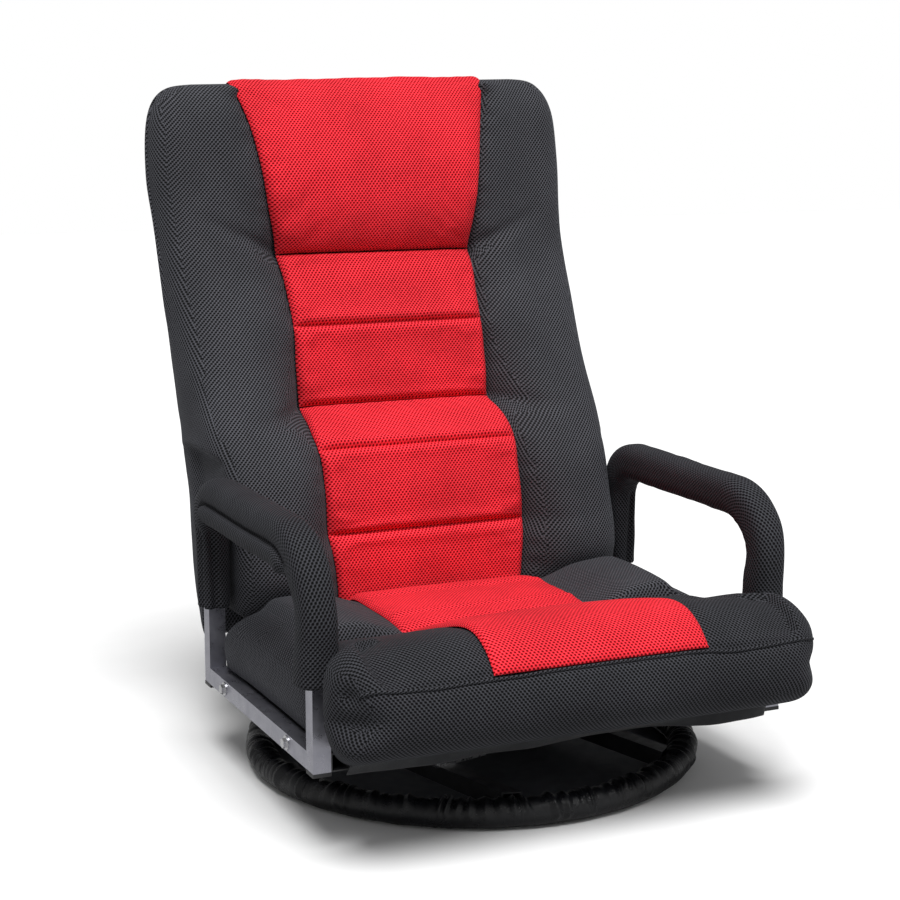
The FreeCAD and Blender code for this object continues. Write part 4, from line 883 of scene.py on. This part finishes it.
for k in range(KF):
    inner = FW[k] - FRF[k] * fshr[k]
    x = np.linspace(-inner, inner, nX)
    FX[k] = x
    a = np.abs(x)
    drop = (4.0 * ease(122, 200, a) + 8.0 * ease(190, 258, a)) * over[k] * ease(-95, -215, fy[k])
    hide = 8.0 * (1 - ease(114, 124, a)) * over[k]
    groove = 3.2 * np.exp(-((a - 126) / 6.5) ** 2) * over[k]
    # valley of the piping
    gap = along[k] - along[PIPE_K] - pipe_drop(x)
    FO[k] = drop + hide + groove + 3.6 * np.exp(-(gap / 5.0) ** 2) + 0.5 * np.sin(x / 5.1 + 1.8 * np.sin(x / 21)) * np.exp(-(gap / 11.0) ** 2) * (np.abs(gap) > 1.5)


def front_puff(P):
    P = soft(P)
    a, y, z = np.abs(P[..., 0]), P[..., 1], P[..., 2]
    # the right end is fuller in the middle of its height and rounder at its top and bottom
    right = ease(165, 286, P[..., 0]) * ease(-225, -255, y)
    P[..., 0] -= right * np.where(z > 165, 13.0, 17.0) * (1 - np.exp(-((z - 165) / 38.0) ** 2))
    # the cover is drawn in where the piping ends at the two sides
    for sgn in (-1, 1):
        c = np.array([sgn * 281.0, -309.0, 190.0])
        d = np.linalg.norm((P - c) * [1, 1, 1.3], axis=-1)
        pull = np.exp(-(d / 13.0) ** 2)
        pull = pull * (1.0 if sgn < 0 else 0.25)
        P[..., 0] -= sgn * 6.0 * pull
        P[..., 1] += 4.0 * pull
    # a soft unevenness across the front face
    P[..., 1] += 1.4 * np.sin(P[..., 0] / 31.0 + P[..., 2] / 40.0) * ease(-322, -336, P[..., 1]) * np.clip((200 - P[..., 2]) / 60, 0, 1)
    return right_fill(P)


roll = loft("seat_front_cover", FF, FR, FW, FRF, FRR, FX, FO, M=(9, 8, 2), side_bulge=0.0, puff=front_puff, ring=True, Win=FWIN, flat_ends=True)
subdivide(roll)
# the front part takes the darker copy of the black mesh, which carries painted shade
finish_piece(roll, BLACK_SHADED, "seat", ["seat_front_bolster"])

raw = np.array([(-80.5, 176), (-85, 181.5), (-98, 186.5), (-120, 194.0), (-160, 207.5), (-200, 220.5), (-235, 230.3), (-262, 234.3), (-281, 232.8), (-298, 226.3), (-313, 216.3),
                (-322.5, 207), (-328.5, 200.5)], float)
line = curve(raw, 84)
nor = normals(line, -1)
s = chord(line)
bul = 5.0 * quarter(s, 40) * quarter(s[-1] - s, 34)
width = np.interp(line[:, 0], [-330, -262, -120, -80], [126.5, 126.5, 122.5, 121.0])
front_red = pillow("seat_front_red_panel", line, width, nor, bul, 59, thick=10, lat=24, wrinkle=0.9, vshift=1200.0)
inflate([front_red], 4.0)
subdivide(front_red)
finish_piece(front_red, RED, "seat", [])

# piping along the front edge, following the valley of the cover
px = np.linspace(-275, 275, 81)
py = np.interp(np.abs(px), [0, 200, 240, 255, 264, 270, 275], [-331.0, -330.0, -328.5, -325.6, -321.0, -316.5, -310.5])
pz = 200.8 - 0.82 * pipe_drop(px) - np.interp(np.abs(px), [240, 255, 264, 270, 275], [0, 0.8, 2.5, 4.5, 7.0])
bpy.context.view_layer.update()
laid = []
for q in curve(np.stack([px, py + 0.45 * pipe_drop(px) * -0.55, pz], axis=1), 180):
    hit, at, nrm, _ = roll.closest_point_on_mesh(Vector(q) * MM)
    laid.append((np.array(at) + np.array(nrm) * 0.0012) / MM if hit else q)
laid = np.array(laid)
for i in range(3):
    laid[3:-3, i] = np.convolve(laid[:, i], np.ones(7) / 7, mode="valid")
piping = tube("seat_piping", laid[2:-4], 2.1, sides=8)
subdivide(piping)
# the piping takes the darker copy of the black mesh, which carries painted shade
finish_piece(piping, BLACK_SHADED, "seat")


# ------------------------------------------------------------------ arm sleeves
def arm_line(low_front, low_rear, step=3.0):
    """Points (y, z) of the arm tube's centre line from the front foot over the top to the rear foot."""
    yf, yr, top, rf, rr = -215.2, 133.4, 318.0, 80.0, 45.0
    pts = [(yf, z) for z in np.arange(low_front, top - rf, step)]
    pts += [(yf + rf - rf * math.cos(a), top - rf + rf * math.sin(a)) for a in np.linspace(0, math.pi / 2, 34)]
    pts += [(y, top) for y in np.arange(yf + rf + step, yr - rr, step)]
    pts += [(yr - rr + rr * math.sin(a), top - rr + rr * math.cos(a)) for a in np.linspace(0, math.pi / 2, 24)]
    pts += [(yr, z) for z in np.arange(top - rr - step, low_rear, -step)] + [(yr, low_rear)]
    return np.array(pts, float)


def arm_sleeve(name, sign, plump, inwards, rearwards):
    """Padded sleeve. plump widens its outer side, inwards and rearwards shift the padding on the front upright."""
    line = arm_line(181.6, 181.6)
    n = len(line)
    s = chord(line)
    t = np.gradient(line, axis=0)
    t /= np.linalg.norm(t, axis=1)[:, None]
    up = np.stack([-t[:, 1], t[:, 0]], axis=1)          # outward side of the bend
    m = 84
    th = np.linspace(0, 2 * math.pi, 1441)
    c, q = np.cos(th), np.sin(th)
    p = 2 / 2.9
    sx = np.sign(c) * np.abs(c) ** p
    sn = np.sign(q) * np.abs(q) ** p
    way = chord(np.stack([19.3 * sx, 21.5 * sn], axis=1))
    at = np.linspace(0, way[-1], m, endpoint=False)
    sx, sn = np.interp(at, way, sx), np.interp(at, way, sn)
    top = np.exp(-((line[:, 1] - 318) / 40.0) ** 4)
    foot = 1 - ease(181, 270, line[:, 1])
    front = line[:, 0] < -100
    hx = 19.3 + 1.2 * top + 1.6 * foot * front
    hn = 21.5 + 1.0 * top + 2.0 * foot * front
    rearleg = (line[:, 0] > 100) & (line[:, 1] < 280)
    hn = np.where(line[:, 0] > 60, hn - 2.2 * ease(300, 262, line[:, 1]), hn)
    hx = np.where(line[:, 0] > 60, hx - 1.5 * ease(300, 262, line[:, 1]), hx)
    P = np.zeros((n, m, 3))
    for i in range(n):
        P[i, :, 0] = sign * (274.4 + hx[i] * sx + plump * np.clip(sx, 0, 1) * (0.5 + 0.5 * foot[i] * front[i]))
        off = hn[i] * sn
        P[i, :, 1:] = line[i] + up[i] * off[:, None]
    lean = front * (1 - ease(225, 300, line[:, 1]))
    P[..., 0] -= sign * inwards * lean[:, None]
    P[..., 1] += rearwards * lean[:, None]
    # creases inside the bends and soft unevenness
    for (y0, z0, wide) in ((-190, 290, 55.0), (112, 292, 34.0)):
        d = np.hypot(line[:, 0] - y0, line[:, 1] - z0)
        amp = 0.9 * np.exp(-(d / wide) ** 2)
        inner = np.clip(-sn, 0, 1) ** 1.5
        P[..., 1:] += up[:, None, :] * (amp[:, None] * inner[None] * np.sin(s / 2.6)[:, None] * (0.6 + 0.4 * np.sin(s / 7.1))[:, None])[..., None]
    nz = cloud(P, 80) * 0.45 + cloud(P + 300, 26) * 0.25
    P[..., 1:] += up[:, None, :] * (nz * np.sign(sn)[None])[..., None]
    P[..., 0] += sign * nz * 0.6 * np.sign(sx)[None]
    # a vertical seam on each upright's outer side, and a pleat beside it at the rear
    def groove(mask, at, deep, wide):
        d = (hn[:, None] * sn[None] - at) / wide
        w = np.exp(-d ** 2) * (sx > 0.3)[None] * mask[:, None]
        P[..., 0] -= sign * deep * w
    groove(front * (1 - ease(240, 275, line[:, 1])), -13.0, 3.2, 2.0)
    groove(rearleg * (1 - ease(262, 284, line[:, 1])), -7.0, 6.0, 4.2)
    groove(rearleg * (1 - ease(262, 284, line[:, 1])), 11.0, 5.0, 3.4)
    fold = np.exp(-((hx[:, None] * sx[None] - 5.0 - 0.05 * (line[:, 1] - 230)[:, None]) / 3.6) ** 2) * (sn < -0.3)[None]
    P[..., 1] += 5.0 * fold * (rearleg * (1 - ease(262, 284, line[:, 1])))[:, None]
    # the cover is drawn in above the hem
    groove(ease(298, 312, line[:, 1]), -6.0, 4.6, 2.0)
    # turned-in ends
    ends = []
    for i, d in ((0, 1), (n - 1, -1)):
        mid = np.array([sign * 274.4, *line[i]]) + np.array([-sign * inwards, rearwards, 0]) * lean[i]
        ends.append([mid + (P[i] - mid) * f + np.array([0, *(t[i] * g * d)]) for f, g in ((0.93, -2.2), (0.8, -2.6), (0.66, -0.5), (0.52, 7.0), (0.02, 8.0))])
    full = np.concatenate([np.array(ends[0][::-1]), P, np.array(ends[1])])
    N = len(full)
    faces, at = grid_faces(N, m, close_u=True, flip=sign < 0)
    closed = np.concatenate([full, full[:, :1]], axis=1)
    u = np.concatenate([np.zeros((N, 1)), np.cumsum(np.linalg.norm(np.diff(closed, axis=1), axis=2), axis=1)], axis=1)
    u = np.broadcast_to(np.median(u, axis=0), u.shape)
    v = chord(full[:, 0])
    uv = [(u[r, k], v[r]) for r, k in at]
    ob = make(name, full.reshape(-1, 3), faces, np.asarray(uv) * MM)
    return weld(ob, 0.0004)


def arm_hem(name, sign, plump):
    """Doubled hem along the lower outer edge of the armrest."""
    line = arm_line(181.6, 181.6, 3.0)
    keep = (line[:, 1] > 296) & (line[:, 0] > -190) & (line[:, 0] < 128)
    line = line[keep]
    n = len(line)
    t = np.gradient(line, axis=0)
    t /= np.linalg.norm(t, axis=1)[:, None]
    up = np.stack([-t[:, 1], t[:, 0]], axis=1)
    s = chord(line)
    taper = ease(0, 26, s) * ease(0, 26, s[-1] - s)
    # section of the band: out from the sleeve (x) and down its side
    sec = [(17.2, -7.6), (21.6, -7.8), (24.6, -9.6), (25.6, -14.0), (25.4, -21.0), (23.6, -26.6), (20.0, -28.4), (16.6, -26.4), (16.0, -17.0), (16.2, -11.5)]
    m = len(sec)
    P = np.zeros((n, m, 3))
    wav = cloud(np.stack([s, 0 * s, 0 * s], axis=1), 26) * 1.3
    for j, (a, b) in enumerate(sec):
        P[:, j, 0] = sign * (274.4 + 0.5 * plump + 16 + (a - 16) * (0.3 + 0.7 * taper))
        low = -9.0 + (b + 9.0) * (0.35 + 0.65 * taper) + wav * (1 if b < -20 else 0.25)
        P[:, j, 1:] = line + up * low[:, None]
    faces, at = grid_faces(n, m, close_u=True, flip=sign < 0)
    u = np.arange(m + 1) * 4.5
    uv = [(u[k], s[r]) for r, k in at]
    for r, turn in ((0, sign < 0), (n - 1, sign > 0)):
        ring = [r * m + k for k in range(m)]
        faces.append(ring[::-1] if not turn else ring)
        uv += [(0.0, 0.0)] * m
    return make(name, P.reshape(-1, 3), faces, np.asarray(uv) * MM)


for side, sign, plump, inwards, rearwards in (("left", -1, 4.0, 0.0, 0.0), ("right", 1, 0.0, 3.5, 9.0)):
    sleeve = arm_sleeve("arm_cover_" + side, sign, plump, inwards, rearwards)
    # sleeve and hem take the darker copy of the black mesh, which carries painted shade
    finish_piece(sleeve, BLACK_SHADED, "seat", ["arm_sleeve_" + side])
    hem = arm_hem("arm_hem_" + side, sign, plump)
    subdivide(hem)
    finish_piece(hem, BLACK_SHADED, "seat")


# ------------------------------------------------------------------ base
def base_cover():
    """Cloth drawn over the base ring: smooth outside, gathered in folds over the top towards the inner edge."""
    folds = 150
    around = folds * 10
    phi = np.linspace(0, 2 * math.pi, around, endpoint=False)
    # uneven spacing and height of the folds
    r2 = np.random.RandomState(3)
    wide = r2.uniform(0.4, 2.0, folds)
    edges = np.concatenate([[0], np.cumsum(wide)]) / wide.sum() * 2 * math.pi
    high = r2.uniform(0.15, 1.0, folds) ** 1.2
    long = r2.uniform(0.2, 1.0, folds)
    k = np.clip(np.searchsorted(edges, phi, side="right") - 1, 0, folds - 1)
    f = (phi - edges[k]) / (edges[k + 1] - edges[k])
    crest = (1 - np.abs(2 * f - 1)) ** 1.15
    psi = np.radians(np.linspace(-100, 172, 40))      # 0 is outwards, 90 is up, 180 is inwards
    P = np.zeros((len(psi), around, 3))
    deg = np.degrees(psi)
    for i, a in enumerate(psi):
        start = -45 + 85 * (1 - long[k])
        w = ease(0, 1, (deg[i] - start) / 55.0)
        r = 16.0 + 0.6 * math.cos(a) + w * (5.4 * high[k] * crest - 0.8) + 0.25 * np.sin(phi * 31 + 2 * a)
        swirl = (0.022 * np.sin(phi * 9 + 1.3) + 0.012 * np.sin(phi * 23) + 0.006 * np.sin(phi * 51)) * ease(-20, 150, deg[i])
        P[i, :, 0] = (251.8 + r * math.cos(a)) * np.cos(phi + swirl)
        P[i, :, 1] = (251.8 + r * math.cos(a)) * np.sin(phi + swirl)
        P[i, :, 2] = np.maximum(17.7 + r * math.sin(a), 0.4)
    n = len(psi)
    faces, at = grid_faces(n, around, close_u=True, flip=True)
    s = chord(P[:, 0])
    uv = [(c * 2 * math.pi * 252 / around, s[r]) for r, c in at]
    return make("base_ring_cover", P.reshape(-1, 3), faces, np.asarray(uv) * MM)


cover = base_cover()
subdivide(cover)
finish_piece(cover, SATIN, "base", ["base_cover"])


def floor_panel():
    """Round cloth under the base, slightly rippled towards its sewn rim."""
    rings, around = 26, 220
    r = np.linspace(0, 1, rings) ** 0.8 * 243.0
    phi = np.linspace(0, 2 * math.pi, around, endpoint=False)
    co = []
    for a in r:
        x, y = a * np.cos(phi), a * np.sin(phi)
        z = 1.1 + 0.5 * cloud(np.stack([x, y, 0 * x], axis=1), 60) * ease(10, 120, a) + 1.2 * ease(170, 243, a) * (0.5 + 0.5 * np.sin(phi * 47 + 2 * np.sin(phi * 5)))
        co.append(np.stack([x, y, np.clip(z, 0.6, 4)], axis=1))
    P = np.array(co)
    faces, at = grid_faces(rings, around, close_u=True)
    uv = [(P[i, c % around, 0], P[i, c % around, 1]) for i, c in at]
    ob = make("base_floor_cloth", P.reshape(-1, 3), faces, np.asarray(uv) * MM)
    weld(ob)
    m = ob.modifiers.new("thick", "SOLIDIFY")
    m.thickness = 0.0008
    m.offset = 0
    return ob


panel = floor_panel()
finish_piece(panel, FLOOR_CLOTH, "base", ["base_floor_panel"])


# dust cloth under the front of the seat: it falls from the underside of the front roll and runs back under the frame
def dust_cloth():
    rows, cols = 44, 120
    x = np.linspace(-1, 1, cols)
    P = np.zeros((rows, cols, 3))
    xf = 257.0 * x
    edge = np.interp(xf, [-262, -217, -147, -93, -48, 36, 123, 177, 235, 276], [-236, -241, -244, -232, -240, -225, -227, -252, -249, -238])
    edge = np.convolve(np.pad(edge, 5, mode="edge"), np.hanning(13)[1:-1] / np.hanning(13).sum(), mode="valid")
    crease = 1.6 * np.exp(-((x + 0.82) / 0.2) ** 2) * np.sin(x * 52)
    for i in range(rows):
        v = i / (rows - 1)
        if i < 14:
            g = i / 13
            y = -249.0 * (1 - g) + edge * g
            z = 98.5 - 13.6 * g ** 1.25 + crease * math.sin(math.pi * g) + 0 * x
            half = 252.0
        else:
            g = (i - 13) / (rows - 14)
            y = edge * (1 - g) - 117.0 * g
            z = 84.9 - 1.1 * math.sin(math.pi * g) * (1 - x ** 2) + crease * (1 - ease(0, 0.3, g)) * 0.6
            half = 252.0 - 18.0 * ease(0.0, 0.12, g)
        P[i, :, 0] = half * x
        P[i, :, 1] = y
        P[i, :, 2] = z
        P[i, :, 2] += 0.5 * cloud(P[i], 38) * ease(0, 6, i)
    faces, at = grid_faces(rows, cols, flip=True)
    v = chord(P[:, cols // 2])
    uv = [(P[r, c, 0], v[r]) for r, c in at]
    ob = make("seat_dust_cloth", P.reshape(-1, 3), faces, np.asarray(uv) * MM)
    m = ob.modifiers.new("thick", "SOLIDIFY")
    m.thickness = 0.0009
    m.offset = 0
    return ob


dust = dust_cloth()
finish_piece(dust, LINING, "seat", ["seat_dust_cover"])

# ------------------------------------------------------------------ carried-over nodes
slots = {}
for n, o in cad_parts.items():
    if o.hide_render:
        continue
    slots[n] = [m.name for m in o.data.materials if m]
    name = slots[n][0].split(".")[0] if slots[n] else ""
    mat = PAINT.get(name)
    if mat is None:
        for key, m in PAINT.items():
            if key in name:
                mat = m
    if mat is None:
        mat = STEEL
    if not o.material_slots:
        o.data.materials.append(mat)
    for ms in o.material_slots:
        ms.link = "OBJECT"
        ms.material = mat

# ------------------------------------------------------------------ stage, light and camera
me = bpy.data.meshes.new("floor")
me.from_pydata([(-9, -9, 0), (9, -9, 0), (9, 9, 0), (-9, 9, 0)], [], [(0, 1, 2, 3)])
floor = bpy.data.objects.new("floor", me)
scene.collection.objects.link(floor)
fm, nt, b = shader("pale_floor")
pale = mix(nt, map_range(nt, noise(nt, 3, 4), 0.3, 0.7, 0, 1), (0.86, 0.86, 0.86), (0.90, 0.90, 0.90))
# the floor throws back less light than it shows, as under a high studio light
seen = add(nt, "ShaderNodeLightPath")
nt.links.new(mix(nt, seen.outputs["Is Camera Ray"], (0.45, 0.45, 0.45), pale), b.inputs["Base Color"])
b.inputs["Roughness"].default_value = 0.9
b.inputs["Specular IOR Level"].default_value = 0.1
me.materials.append(fm)

world = bpy.data.worlds.new("studio")
scene.world = world
world.use_nodes = True
wt = world.node_tree
bg = wt.nodes["Background"]
bg.inputs["Color"].default_value = (1.0, 1.0, 1.0, 1)
# white behind the part, a softer surround for its light
path_node = add(wt, "ShaderNodeLightPath")
wt.links.new(map_range(wt, path_node.outputs["Is Camera Ray"], 0, 1, 0.27, 1.0, smooth=False), bg.inputs["Strength"])


def sun(name, place, strength, angle):
    light = bpy.data.lights.new(name, "SUN")
    light.energy = strength
    light.angle = math.radians(angle)
    ob = bpy.data.objects.new(name, light)
    scene.collection.objects.link(ob)
    ob.location = place
    ob.rotation_euler = (-Vector(place)).to_track_quat("-Z", "Y").to_euler()
    return ob


sun("key", (-0.25, -0.86, 2.1), 3.55, 34)
sun("side", (-2.0, -0.8, 0.9), 0.10, 60)
sun("fill", (1.5, -1.6, 1.0), 0.30, 60)

lens_px = 1973.79
pitch, yaw = math.radians(10.2217), math.radians(24.3543)
place = Vector((-0.95752, -2.05435, 0.77702))
cam = bpy.data.cameras.new("camera")
cam.sensor_fit = "HORIZONTAL"
cam.sensor_width = 36.0
cam.lens = lens_px / 900 * 36.0
camera = bpy.data.objects.new("camera", cam)
scene.collection.objects.link(camera)
back_dir = Vector((math.sin(-yaw) * math.cos(pitch), -math.cos(-yaw) * math.cos(pitch), math.sin(pitch)))
right_dir = Vector((math.cos(-yaw), math.sin(-yaw), 0))
up_dir = back_dir.cross(right_dir)
camera.matrix_world = Matrix(((right_dir.x, up_dir.x, back_dir.x, place.x), (right_dir.y, up_dir.y, back_dir.y, place.y), (right_dir.z, up_dir.z, back_dir.z, place.z), (0, 0, 0, 1)))
scene.camera = camera
scene.view_settings.view_transform = "Standard"

bpy.context.view_layer.update()
